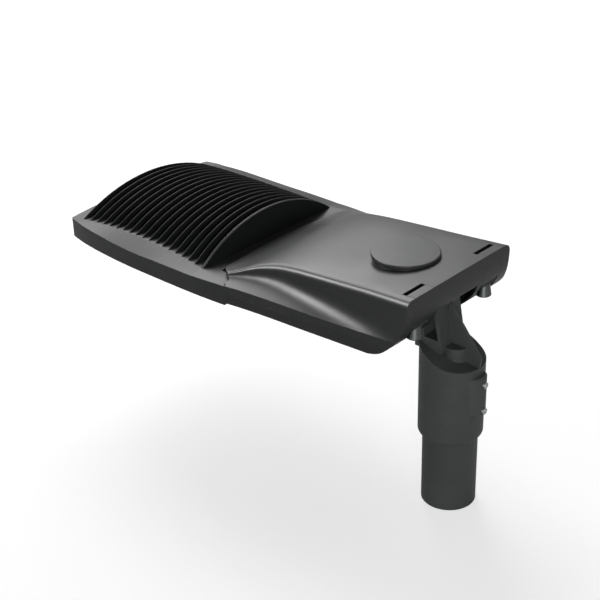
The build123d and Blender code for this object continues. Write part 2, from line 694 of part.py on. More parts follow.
def strap(side):
    """A closing strap: tab on top, leg down the rear face, web to the cover, drilled foot."""
    y0, y1 = NOTCH_INNER_Y + STRAP_SIDE_GAP, NOTCH_OUTER_Y - STRAP_SIDE_GAP
    blank = slab(STRAP_FRONT_X, OVERRUN, y0, y1, STRAP_FOOT_Z, 90)
    tab = blank & (cover_mass() - Pos(0, 0, -STRAP_THICKNESS) * cover_mass())
    leg = blank & cover_mass() & behind_stern(STRAP_THICKNESS)
    web = slab(NOTCH_FRONT_X, 4, y0 + 6, y1 - 6, STRAP_SCREW_Z - 5, STRAP_SCREW_Z + 5)
    foot = slab(NOTCH_FRONT_X, 5, y0 + 3, y1 - 3, STRAP_FOOT_Z, STRAP_FOOT_Z + STRAP_FOOT_THICKNESS)
    body = tab + leg + web + foot - behind_stern()
    body -= post(KNOB_X, KNOB_Y, -20, STRAP_SCREW_Z - 8, STUD_RADIUS + STUD_CLEARANCE)
    y_mid = (NOTCH_INNER_Y + NOTCH_OUTER_Y) / 2
    body -= along_x(NOTCH_FRONT_X - 1, -1, y_mid, STRAP_SCREW_Z, SMALL_SCREW_RADIUS + THREAD_GAP)
    return mirrored(body) if side == NEAR else body


def strap_screws():
    """The screws that hold the straps to the cover's notch walls."""
    screws = []
    for side in (NEAR, FAR):
        y_mid = side * (NOTCH_INNER_Y + NOTCH_OUTER_Y) / 2
        back = NOTCH_FRONT_X - COVER_WALL
        screw = along_x(back, -3, y_mid, STRAP_SCREW_Z, SMALL_SCREW_RADIUS)
        screw += along_x(back - 2.6, back, y_mid, STRAP_SCREW_Z, 3.6)
        screw -= along_x(back - 3, back - 1.2, y_mid, STRAP_SCREW_Z, 1.4)
        screws.append(screw)
    return group(screws)


def thumb_screw(side):
    """A conical thumb screw with a plain stud; threads aren't modelled."""
    y = side * KNOB_Y
    head = cone(KNOB_X, y, KNOB_BOTTOM_Z, KNOB_TOP_Z, KNOB_BOTTOM_RADIUS, KNOB_TOP_RADIUS)
    head = fillet(head.edges().group_by(Axis.Z)[0], 1.2)
    stud = post(KNOB_X, y, KNOB_TOP_Z - 1, STRAP_FOOT_Z + STRAP_FOOT_THICKNESS + 2, STUD_RADIUS)
    stud = chamfer(stud.edges().group_by(Axis.Z)[-1], 0.8)
    return head + stud


def cap():
    """The turning cap of the control socket with its pivot and contact blades."""
    top = post(CAP_X, 0, CAP_TOP_Z - CAP_HEIGHT, CAP_TOP_Z, CAP_RADIUS)
    top = fillet(top.edges().group_by(Axis.Z)[-1], 1.6)
    pivot = post(CAP_X, 0, SOCKET_TOP_Z - 9, CAP_TOP_Z - 1, PIVOT_RADIUS)
    return top + pivot


def blade_face(first, last, ring, thickness):
    """An arc-shaped strip in plan between two angles."""
    half = thickness / 2
    outer = CenterArc((CAP_X, 0), ring + half, first, last - first)
    inner = CenterArc((CAP_X, 0), ring - half, first, last - first)
    sides = Line(outer @ 0, inner @ 0) + Line(outer @ 1, inner @ 1)
    return make_face(outer + inner + sides)


def cap_blades():
    """Three curved contact blades under the cap."""
    blades = []
    for start in BLADE_STARTS:
        face = blade_face(start, start + BLADE_SPAN, BLADE_RING, BLADE_THICKNESS)
        blades.append(upright(face, SOCKET_TOP_Z - 11, CAP_TOP_Z - CAP_HEIGHT))
    return group(blades)


def control_socket():
    """The control socket: round body, flange, pivot bore and curved slots."""
    body = post(CAP_X, 0, SOCKET_BOTTOM_Z, SOCKET_TOP_Z, SOCKET_RADIUS)
    flange_top = SOCKET_RING_Z - SOCKET_SEAL
    body += post(CAP_X, 0, flange_top - SOCKET_FLANGE, flange_top, SOCKET_FLANGE_RADIUS)
    body -= post(CAP_X, 0, SOCKET_TOP_Z - 10, SOCKET_TOP_Z + 1, PIVOT_RADIUS + RUNNING_FIT)
    for start in BLADE_STARTS:
        face = blade_face(start - 4, start + BLADE_SPAN + CAP_TURN + 4, BLADE_RING,
                          BLADE_THICKNESS + 0.8)
        body -= upright(face, SOCKET_TOP_Z - 12, SOCKET_TOP_Z + 1)
        x, y = contact_place(start)
        body -= post(x, y, SOCKET_BOTTOM_Z - 1, SOCKET_BOTTOM_Z + 4, 2.2 + THREAD_GAP)
    for x, y in socket_screws():
        body -= post(x, y, 0, SOCKET_RING_Z, SOCKET_SCREW_RADIUS + THREAD_GAP)
    return body


def contact_place(start):
    """Position of the terminal under one slot."""
    angle = math.radians(start + BLADE_SPAN / 2)
    return CAP_X + BLADE_RING * math.cos(angle), BLADE_RING * math.sin(angle)


def socket_contacts():
    """Wire terminals under the socket."""
    posts = []
    for start in BLADE_STARTS:
        x, y = contact_place(start)
        stem = post(x, y, SOCKET_BOTTOM_Z - 5, SOCKET_BOTTOM_Z + 3.5, 2.2)
        posts.append(stem + post(x, y, SOCKET_BOTTOM_Z - 2, SOCKET_BOTTOM_Z, 3.4))
    return group(posts)


def ring(x, z0, z1, inner, outer):
    """A flat ring on the middle plane."""
    return post(x, 0, z0, z1, outer) - post(x, 0, z0 - 1, z1 + 1, inner)


def socket_seal():
    seal = ring(CAP_X, SOCKET_RING_Z - SOCKET_SEAL, SOCKET_RING_Z, SOCKET_RADIUS + 0.4,
                SOCKET_FLANGE_RADIUS)
    for x, y in socket_screws():
        seal -= post(x, y, 0, 90, SOCKET_SCREW_RADIUS + THREAD_GAP)
    return seal


def socket_screw_set():
    """Screws of the control socket."""
    low = SOCKET_RING_Z - SOCKET_SEAL - SOCKET_FLANGE
    screws = []
    for x, y in socket_screws():
        shank = post(x, y, low, SOCKET_RING_Z + 5, SOCKET_SCREW_RADIUS)
        screws.append(shank + post(x, y, low - 2, low, 2.8))
    return group(screws)


def cap_seal():
    return ring(CAP_X, SOCKET_TOP_Z, SOCKET_TOP_Z + CAP_GAP, 25.5, 31.0)


def hinge_pins():
    """The two pins of the cover hinge."""
    reach = HINGE_EYE_LENGTH / 2 + HINGE_SIDE_GAP + HINGE_LUG
    return group(cross_rod(HINGE_X, HINGE_Z, y - reach, y + reach, HINGE_PIN_RADIUS)
                 for y in (-HINGE_CENTRE_Y, HINGE_CENTRE_Y))


def cover_seal():
    """Seal under the cover's shelf, pressed on the upstand."""
    body = upright(ring_plan(UPSTAND + 1.5), -40, 80) - upright(ring_plan(-1.5), -50, 90)
    body &= under_seal(SEAL_THICKNESS) - under_seal(0)
    return body


def pole_stub():
    """The top of the round pole."""
    outer = post(0, 0, -RIM_HEIGHT, POLE_TOP_Z, POLE_RADIUS)
    return outer - post(0, 0, -RIM_HEIGHT - 1, POLE_TOP_Z + 1, POLE_RADIUS - POLE_WALL)


def bracket():
    """The pole-top bracket: sleeve with sloping roof, hub, hollow neck, rib and flange."""
    body = post(0, 0, SLEEVE_BOTTOM_Z, -30, SOCKET_OUTER_RADIUS)
    body = fillet(body.edges().group_by(Axis.Z)[0], 5.5)
    roof = Spline((-60, -44), (-46, -47), (-32.6, -52), (-9, -61), (12.6, -70.4), (27, -74), (60, -75))
    above = Polyline((60, -75), (60, 0), (-60, 0), (-60, -44))
    body -= side_profile(roof + above, 60)
    body += post(HUB_X, 0, -90, HUB_TOP_Z, HUB_RADIUS)
    neck = Polyline((-9.5, FLANGE_TOP_Z - 5), (-9, 0), (-0.5, -47), (-0.5, -62), (-44, -62), (-44, -48),
                    (NECK_FRONT_X, -16), (NECK_FRONT_X, FLANGE_TOP_Z - 5), close=True)
    body += side_profile(neck, NECK_HALF_WIDTH)
    window = Polyline((-29.5, -8), (-29.5, -43.5), (-6.5, -43.5), (-13.5, -8), close=True)
    body -= side_profile(window, 60)
    rib = Polyline((-8, 4), (-4.5, 4.5), (47, -60), (44, -78), (-4, -78), close=True)
    body += side_profile(rib, RIB_THICKNESS / 2)
    front_rib = Polyline((FLANGE_FRONT_X + 3, 8), (NECK_FRONT_X + 1, 8), (NECK_FRONT_X + 1, -14),
                         close=True)
    body += side_profile(front_rib, RIB_THICKNESS)
    flange = slab(FLANGE_FRONT_X, FLANGE_REAR_X, -FLANGE_HALF_WIDTH, FLANGE_HALF_WIDTH,
                  FLANGE_TOP_Z - FLANGE_THICKNESS, FLANGE_TOP_Z)
    body += fillet(flange.edges().filter_by(Axis.Z), 5)
    boss = post(32.7, 0, -147, -88, 19.8)
    body += chamfer(boss.edges().filter_by(GeomType.CIRCLE), 2.5)
    body -= post(0, 0, SLEEVE_BOTTOM_Z - 10, POLE_TOP_Z + 0.3, POLE_RADIUS + POLE_CLEARANCE)
    body -= post(-17, 0, -120, -40, 9)
    body -= post(CABLE_HOLE_X, 0, 4, 20, CABLE_CHANNEL_RADIUS)
    body -= post(CABLE_HOLE_X, 0, -26, 6, 9)
    body -= slab(CABLE_HOLE_X, -25, -8, 8, -26, -10)
    for x, y in FLANGE_BOLTS:
        body -= post(x, y, -10, 20, BOLT_RADIUS + 0.4)
    for z in SET_SCREW_HEIGHTS:
        body -= along_x(30, 60, 0, z, SET_SCREW_RADIUS - 0.5 + THREAD_GAP)
    return body


def set_screws():
    """Screws that clamp the sleeve on the pole."""
    screws = []
    for z in SET_SCREW_HEIGHTS:
        screw = along_x(POLE_RADIUS, SET_SCREW_REACH - 3.4, 0, z, SET_SCREW_RADIUS - 0.5)
        screw += along_x(SET_SCREW_REACH - 3.4, SET_SCREW_REACH, 0, z, SET_SCREW_RADIUS)
        screws.append(screw - along_x(SET_SCREW_REACH - 2, SET_SCREW_REACH + 1, 0, z, 2.2))
    return group(screws)


def flange_bolts():
    """Hexagon bolts that hold the housing on the bracket's flange."""
    low = FLANGE_TOP_Z - FLANGE_THICKNESS - WASHER_THICKNESS
    bolts = []
    for x, y in FLANGE_BOLTS:
        bolts.append(hexagon(x, y, low - BOLT_HEAD_HEIGHT, low, 5.6)
                     + post(x, y, low, FLANGE_TOP_Z + BOLT_DEPTH, BOLT_RADIUS))
    return group(bolts)


def flange_washers():
    top = FLANGE_TOP_Z - FLANGE_THICKNESS
    return group(post(x, y, top - WASHER_THICKNESS, top, WASHER_RADIUS)
                 - post(x, y, top - 5, top + 5, BOLT_RADIUS + 0.2) for x, y in FLANGE_BOLTS)


def cable_gland():
    """Gland through the roof of the pocket."""
    seat = FLANGE_TOP_Z + POCKET_ROOF
    body = post(CABLE_HOLE_X, 0, FLANGE_TOP_Z - 6, seat, GLAND_RADIUS)
    body += hexagon(CABLE_HOLE_X, 0, seat, seat + 4, 11.0)
    dome = post(CABLE_HOLE_X, 0, seat + 4, seat + 7, 9.5)
    body += fillet(dome.edges().group_by(Axis.Z)[-1], 1.5)
    return body - post(CABLE_HOLE_X, 0, -20, 60, GLAND_BORE)


def gland_nut():
    body = hexagon(CABLE_HOLE_X, 0, FLANGE_TOP_Z - 4.5, FLANGE_TOP_Z, 10.8)
    return body - post(CABLE_HOLE_X, 0, -20, 60, GLAND_RADIUS + THREAD_GAP)


def gear_plate():
    """Sheet that carries the electrical gear."""
    middle_x = (PLATE_FRONT_X + PLATE_REAR_X) / 2
    face = RectangleRounded(PLATE_REAR_X - PLATE_FRONT_X, 2 * PLATE_HALF_WIDTH, 6)
    body = upright(Pos(middle_x, 0) * face, PLATE_Z, PLATE_Z + PLATE_THICKNESS)
    for x, y in gear_plate_feet() + gear_screws():
        body -= post(x, y, -40, 40, SMALL_SCREW_RADIUS + THREAD_GAP)
    return body


def gear_plate_screws():
    return group(pan_screw(x, y, PLATE_Z + PLATE_THICKNESS, 5.5) for x, y in gear_plate_feet())


def pan_screw(x, y, seat, length):
    """A pan-head screw pointing down from its seat."""
    head = post(x, y, seat, seat + 2.2, 3.6)
    head = fillet(head.edges().group_by(Axis.Z)[-1], 0.8)
    slot = slab(x - 3, x + 3, y - 0.4, y + 0.4, seat + 1.2, seat + 3)
    return head + post(x, y, seat - length, seat, SMALL_SCREW_RADIUS) - slot


def gear_screws():
    """Positions of the screws of the driver, surge protector, terminals and earth."""
    places = []
    for x0, x1, y0, y1, _ in (DRIVER, SURGE, TERMINALS):
        middle = (y0 + y1) / 2
        places += [(x0 - TAB / 2, middle), (x1 + TAB / 2, middle)]
    return places + [EARTH_PLACE]


def gear_box(sizes, bevel):
    """A box with a screw tab at each end, standing on the gear plate."""
    x0, x1, y0, y1, height = sizes
    seat = PLATE_Z + PLATE_THICKNESS
    middle = (y0 + y1) / 2
    body = slab(x0, x1, y0, y1, seat, seat + height)
    body = fillet(body.edges().filter_by(Axis.Z), bevel)
    body += slab(x0 - TAB, x1 + TAB, middle - 7, middle + 7, seat, seat + TAB_THICKNESS)
    for x in (x0 - TAB / 2, x1 + TAB / 2):
        body -= post(x, middle, -40, seat + TAB_THICKNESS + 1, SMALL_SCREW_RADIUS + THREAD_GAP)
    return body


def driver():
    body = gear_box(DRIVER, 3)
    return chamfer(body.faces().sort_by(Axis.Z)[-1].edges(), 1.5)


def surge_protector():
    return gear_box(SURGE, 2)


def terminal_block():
    """Terminal block with five wire entries."""
    body = gear_box(TERMINALS, 1)
    x0, x1, y0, y1, height = TERMINALS
    top = PLATE_Z + PLATE_THICKNESS + height
    for index in range(5):
        y = y0 + 6 + index * (y1 - y0 - 12) / 4
        body -= post(x0 + 12, y, top - 6, top + 1, 2.6)
        body -= post(x1 - 12, y, top - 6, top + 1, 2.6)
        body -= along_x(x0 - 1, x0 + 8, y, top - 9, 2.4)
    return body


def gear_fixings():
    """Screws of the driver, the surge protector and the terminal block."""
    seat = PLATE_Z + PLATE_THICKNESS + TAB_THICKNESS
    return group(pan_screw(x, y, seat, 4.8) for x, y in gear_screws()[:-1])


def earth_screw():
    x, y = EARTH_PLACE
    seat = PLATE_Z + PLATE_THICKNESS
    return hexagon(x, y, seat, seat + 3.2, 4.2) + post(x, y, seat - 3, seat, SMALL_SCREW_RADIUS)


def breather():
    """Pressure-relief plug in the floor of the tray."""
    body = post(BREATHER_X, BREATHER_Y, -40, -25, BREATHER_RADIUS)
    body += post(BREATHER_X, BREATHER_Y, -36, -25, 9.0) - above_tray_bottom()
    body &= post(BREATHER_X, BREATHER_Y, -34.6, -25, 9.0)
    return body - post(BREATHER_X, BREATHER_Y, -40, -20, 1.5)


def board_outline():
    return RectangleRounded(BOARD_LENGTH, BOARD_WIDTH, 4)


def at_board(side, shape):
    """Put a shape drawn round the origin over the middle of one board."""
    return Pos(BOARD_CENTRE_X, side * BOARD_CENTRE_Y) * shape


def lens_screw_places():
    """Screws of one lens array, measured from the middle of its board."""
    x, y = BOARD_LENGTH / 2 - 5, BOARD_WIDTH / 2 - 5
    return [(-x, -y), (-x, y), (x, -y), (x, y)]


def led_places():
    """LED positions measured from the middle of a board."""
    places = []
    for column in range(LED_COLUMNS):
        for row in range(LED_ROWS):
            x = (column - (LED_COLUMNS - 1) / 2) * 26.0
            y = (row - (LED_ROWS - 1) / 2) * 25.0
            places.append((x, y))
    return places


def led_board(side):
    body = upright(board_outline(), CEILING_Z - BOARD_THICKNESS, CEILING_Z)
    for x, y in lens_screw_places():
        body -= post(x, y, -40, 10, SOCKET_SCREW_RADIUS + THREAD_GAP)
    return at_board(side, body)


def led_packages(side):
    top = CEILING_Z - BOARD_THICKNESS
    return group(at_board(side, slab(x - LED_SIZE / 2, x + LED_SIZE / 2, y - LED_SIZE / 2,
                                     y + LED_SIZE / 2, top - LED_HEIGHT, top))
                 for x, y in led_places())


def lens_array(side):
    """Clear plate with a dome under every LED and a rim that stands on the board."""
    board_z = CEILING_Z - BOARD_THICKNESS
    plate_top = board_z - LENS_STANDOFF
    body = upright(board_outline(), plate_top - LENS_PLATE, board_z)
    body -= upright(offset(board_outline(), -10), plate_top, board_z + 1)
    for x, y in led_places():
        ball = Pos(x, y, plate_top - LENS_PLATE - LENS_HEIGHT + LENS_RADIUS) * Sphere(LENS_RADIUS)
        body += ball & slab(x - 12, x + 12, y - 12, y + 12, -40, plate_top - LENS_PLATE / 2)
    for x, y in lens_screw_places():
        body -= post(x, y, -40, 10, SOCKET_SCREW_RADIUS + THREAD_GAP)
    return at_board(side, body)


def lens_screws():
    """Screws that hold the lens arrays and boards on the heat sink."""
    low = CEILING_Z - BOARD_THICKNESS - LENS_STANDOFF - LENS_PLATE
    screws = []
    for side in (NEAR, FAR):
        for x, y in lens_screw_places():
            screw = post(x, y, low, CEILING_Z, SOCKET_SCREW_RADIUS) + post(x, y, low - 1.8, low, 2.8)
            screws.append(at_board(side, screw))
    return group(screws)


def glass_face():
    middle_x = (GLASS_FRONT_X + GLASS_REAR_X) / 2
    return Pos(middle_x, 0) * Rectangle(GLASS_REAR_X - GLASS_FRONT_X, 2 * GLASS_HALF_WIDTH)


def glass():
    low = -HOUSING_DEPTH + FRAME_THICKNESS
    return upright(glass_face(), low, low + GLASS_THICKNESS)


def glass_seal():
    low = -HOUSING_DEPTH + FRAME_THICKNESS + GLASS_THICKNESS
    face = glass_face() - offset(glass_face(), -GLASS_LEDGE + 0.5, kind=Kind.INTERSECTION)
    return upright(face, low, low + GLASS_SEAL)


def glass_frame():
    """Frame that holds the glass from below and closes the wiring space."""
    low = -HOUSING_DEPTH
    outline = housing_plan(5.4) & slab_face(-640, GUTTER_REAR_X - 6.4, -200, 200)
    window = offset(glass_face(), -FRAME_LAND, kind=Kind.INTERSECTION)
    body = upright(outline - window, low, low + FRAME_THICKNESS)
    for x, y in frame_screws():
        body -= post(x, y, -40, 0, SMALL_SCREW_RADIUS + 0.3)
        body -= post(x, y, -40, low + 1.8, 4.0)
    return body


def frame_screw_set():
    """Screws of the glass frame, sunk flush."""
    low = -HOUSING_DEPTH
    screws = []
    for x, y in frame_screws():
        screw = post(x, y, low + 0.2, low + 1.8, 3.7)
        screw += post(x, y, low + 1.8, low + FRAME_THICKNESS + 7, SMALL_SCREW_RADIUS)
        screws.append(screw - post(x, y, low - 1, low + 1, 1.3))
    return group(screws)


def main():
    """Build every sub-part and write it."""
    os.makedirs("parts", exist_ok=True)
    save(pole_stub(), "pole_stub")
    save(bracket(), "pole_bracket")
    save(set_screws(), "pole_set_screws")
    save(flange_bolts(), "flange_bolts")
    save(flange_washers(), "flange_washers")
    save(housing(), "housing")
    save(cooling_fins(), "cooling_fins")
    save(hinge_pins(), "cover_hinge_pins")
    save(cover(), "gear_cover")
    save(cover_seal(), "cover_seal")
    save(strap_screws(), "strap_screws")
    for side, word in ((NEAR, "near"), (FAR, "far")):
        save(strap(side), word + "_strap")
        save(thumb_screw(side), word + "_thumb_screw")
        save(led_board(side), word + "_led_board")
        save(led_packages(side), word + "_led_packages")
        save(lens_array(side), word + "_lens_array")
    save(lens_screws(), "lens_screws")
    save(glass(), "glass_pane")
    save(glass_seal(), "glass_seal")
    save(glass_frame(), "glass_frame")
    save(frame_screw_set(), "glass_frame_screws")
    save(control_socket(), "control_socket")
    save(socket_seal(), "control_socket_seal")
    save(socket_screw_set(), "control_socket_screws")
    save(socket_contacts(), "control_socket_contacts")
    save(cap(), "turning_cap")
    save(cap_blades(), "cap_blades")
    save(cap_seal(), "cap_seal")
    save(cable_gland(), "cable_gland")
    save(gland_nut(), "cable_gland_nut")
    save(gear_plate(), "gear_plate")
    save(gear_plate_screws(), "gear_plate_screws")
    save(driver(), "led_driver")
    save(surge_protector(), "surge_protector")
    save(terminal_block(), "terminal_block")
    save(gear_fixings(), "gear_screws")
    save(earth_screw(), "earth_screw")
    save(breather(), "breather_plug")


if __name__ == "__main__":
    main()
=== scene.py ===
import json
import logging
import math
from dataclasses import dataclass, field
from enum import Enum
from typing import Iterable, Optional, Sequence, Union

import bmesh
import bpy
from mathutils import Matrix, Vector

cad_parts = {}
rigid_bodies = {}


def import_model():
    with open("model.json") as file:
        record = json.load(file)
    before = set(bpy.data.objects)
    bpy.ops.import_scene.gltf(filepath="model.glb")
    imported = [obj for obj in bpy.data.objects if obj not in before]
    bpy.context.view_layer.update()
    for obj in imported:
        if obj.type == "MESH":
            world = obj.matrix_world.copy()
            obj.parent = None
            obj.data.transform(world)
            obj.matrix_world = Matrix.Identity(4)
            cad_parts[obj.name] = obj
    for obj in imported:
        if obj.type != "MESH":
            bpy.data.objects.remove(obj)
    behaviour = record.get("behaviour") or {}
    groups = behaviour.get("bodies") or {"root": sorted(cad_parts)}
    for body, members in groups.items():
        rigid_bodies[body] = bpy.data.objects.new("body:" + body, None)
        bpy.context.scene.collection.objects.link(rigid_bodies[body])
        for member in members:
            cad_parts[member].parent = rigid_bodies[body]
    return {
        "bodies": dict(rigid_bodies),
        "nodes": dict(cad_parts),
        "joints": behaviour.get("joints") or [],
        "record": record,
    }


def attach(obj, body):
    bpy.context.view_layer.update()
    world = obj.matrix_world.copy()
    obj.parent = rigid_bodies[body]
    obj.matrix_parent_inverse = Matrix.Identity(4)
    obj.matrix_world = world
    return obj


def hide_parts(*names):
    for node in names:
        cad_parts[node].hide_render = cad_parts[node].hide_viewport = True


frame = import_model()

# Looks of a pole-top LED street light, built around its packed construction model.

Colour = tuple[float, float, float]
Point = tuple[float, float, float]
Loop = list[Point]
Value = Union[float, bpy.types.NodeSocket]

LOG = logging.getLogger("street_light")
RIM_Z = 0.3
SEED = 11


class Body(Enum):
    """The rigid bodies of the lamp."""

    LAMP = "lamp_body"
    COVER = "cover_body"


class Slot(Enum):
    """Names of material slots that new pieces are listed with."""

    CASTING = "coated_casting"
    STEEL = "bright_steel"
    PHOSPHOR = "led_phosphor"
    LENS = "lens_clear"


class NodeSheet:
    """Short calls for filling a shader or geometry node tree."""

    def __init__(self, tree: bpy.types.NodeTree) -> None:
        """Keep the tree that the nodes go into.

        Args:
            tree: the shader or geometry node tree.
        """
        self.tree = tree

    def add(self, kind: str, **settings: object) -> bpy.types.Node:
        """Add a node and set its properties.

        Args:
            kind: the node's type identifier.
            settings: property names and values.

        Returns:
            The new node.
        """
        node = self.tree.nodes.new(kind)
        for key, value in settings.items():
            setattr(node, key, value)
        return node

    def put(self, socket: bpy.types.NodeSocket, value: object) -> None:
        """Link a socket into another, or write a plain value on it.

        Args:
            socket: the input socket.
            value: an output socket or a value.
        """
        if isinstance(value, bpy.types.NodeSocket):
            self.tree.links.new(value, socket)
        else:
            socket.default_value = value

    def math(self, operation: str, *values: Value) -> bpy.types.NodeSocket:
        """Combine numbers with a Math node.

        Args:
            operation: the Math node's operation.
            values: up to three sockets or numbers.

        Returns:
            The result socket.
        """
        node = self.add("ShaderNodeMath", operation=operation)
        for socket, value in zip(node.inputs, values):
            self.put(socket, value)
        return node.outputs[0]

    def remap(self, value: Value, low: float, high: float, to_low: float,
              to_high: float) -> bpy.types.NodeSocket:
        """Stretch a range of numbers onto another, clamped at both ends.

        Args:
            value: the number to remap.
            low: start of its range.
            high: end of its range.
            to_low: result at the start.
            to_high: result at the end.

        Returns:
            The result socket.
        """
        node = self.add("ShaderNodeMapRange")
        for name, entry in (("Value", value), ("From Min", low), ("From Max", high),
                            ("To Min", to_low), ("To Max", to_high)):
            self.put(node.inputs[name], entry)
        return node.outputs[0]

    def mix_colour(self, share: Value, first: object, second: object) -> bpy.types.NodeSocket:
        """Mix two colours.

        Args:
            share: share of the second colour.
            first: colour or socket at 0.
            second: colour or socket at 1.

        Returns:
            The mixed colour socket.
        """
        node = self.add("ShaderNodeMix", data_type="RGBA")
        self.put(node.inputs[0], share)
        self.put(node.inputs[6], first)
        self.put(node.inputs[7], second)
        return node.outputs[2]

    def noise(self, place: Value, scale: Value, detail: float,
              roughness: float = 0.5) -> bpy.types.NodeSocket:
        """Read a noise value.

        Args:
            place: the coordinates socket.
            scale: cycles per metre.
            detail: octaves.
            roughness: strength of the finer octaves.

        Returns:
            The noise value, about 0.3 to 0.7.
        """
        node = self.add("ShaderNodeTexNoise")
        self.put(node.inputs["Vector"], place)
        self.put(node.inputs["Scale"], scale)
        self.put(node.inputs["Detail"], detail)
        self.put(node.inputs["Roughness"], roughness)
        return node.outputs[0]


def opaque(colour: Colour) -> tuple[float, float, float, float]:
    """Return the colour with full opacity."""
    return (*colour, 1.0)


class ShaderGroup:
    """A shader effect shared by several materials."""

    def __init__(self, name: str, inputs: dict[str, object], outputs: dict[str, str]) -> None:
        """Make the empty group with its named sockets.

        Args:
            name: name of the effect.
            inputs: socket names with their default number or colour.
            outputs: socket names with their socket types.
        """
        self.tree = bpy.data.node_groups.new(name, "ShaderNodeTree")
        for label, value in inputs.items():
            kind = "NodeSocketColor" if isinstance(value, tuple) else "NodeSocketFloat"
            socket = self.tree.interface.new_socket(name=label, in_out="INPUT", socket_type=kind)
            socket.default_value = value
        for label, kind in outputs.items():
            self.tree.interface.new_socket(name=label, in_out="OUTPUT", socket_type=kind)
        self.sheet = NodeSheet(self.tree)
        self.given = self.sheet.add("NodeGroupInput").outputs
        self.result = self.sheet.add("NodeGroupOutput").inputs

    def place(self, sheet: NodeSheet, **values: object) -> bpy.types.Node:
        """Place the effect in a material.

        Args:
            sheet: the material's nodes.
            values: input names, with underscores for spaces, and their values.

        Returns:
            The group node.
        """
        node = sheet.add("ShaderNodeGroup", node_tree=self.tree)
        for key, value in values.items():
            sheet.put(node.inputs[key.replace("_", " ")], value)
        return node


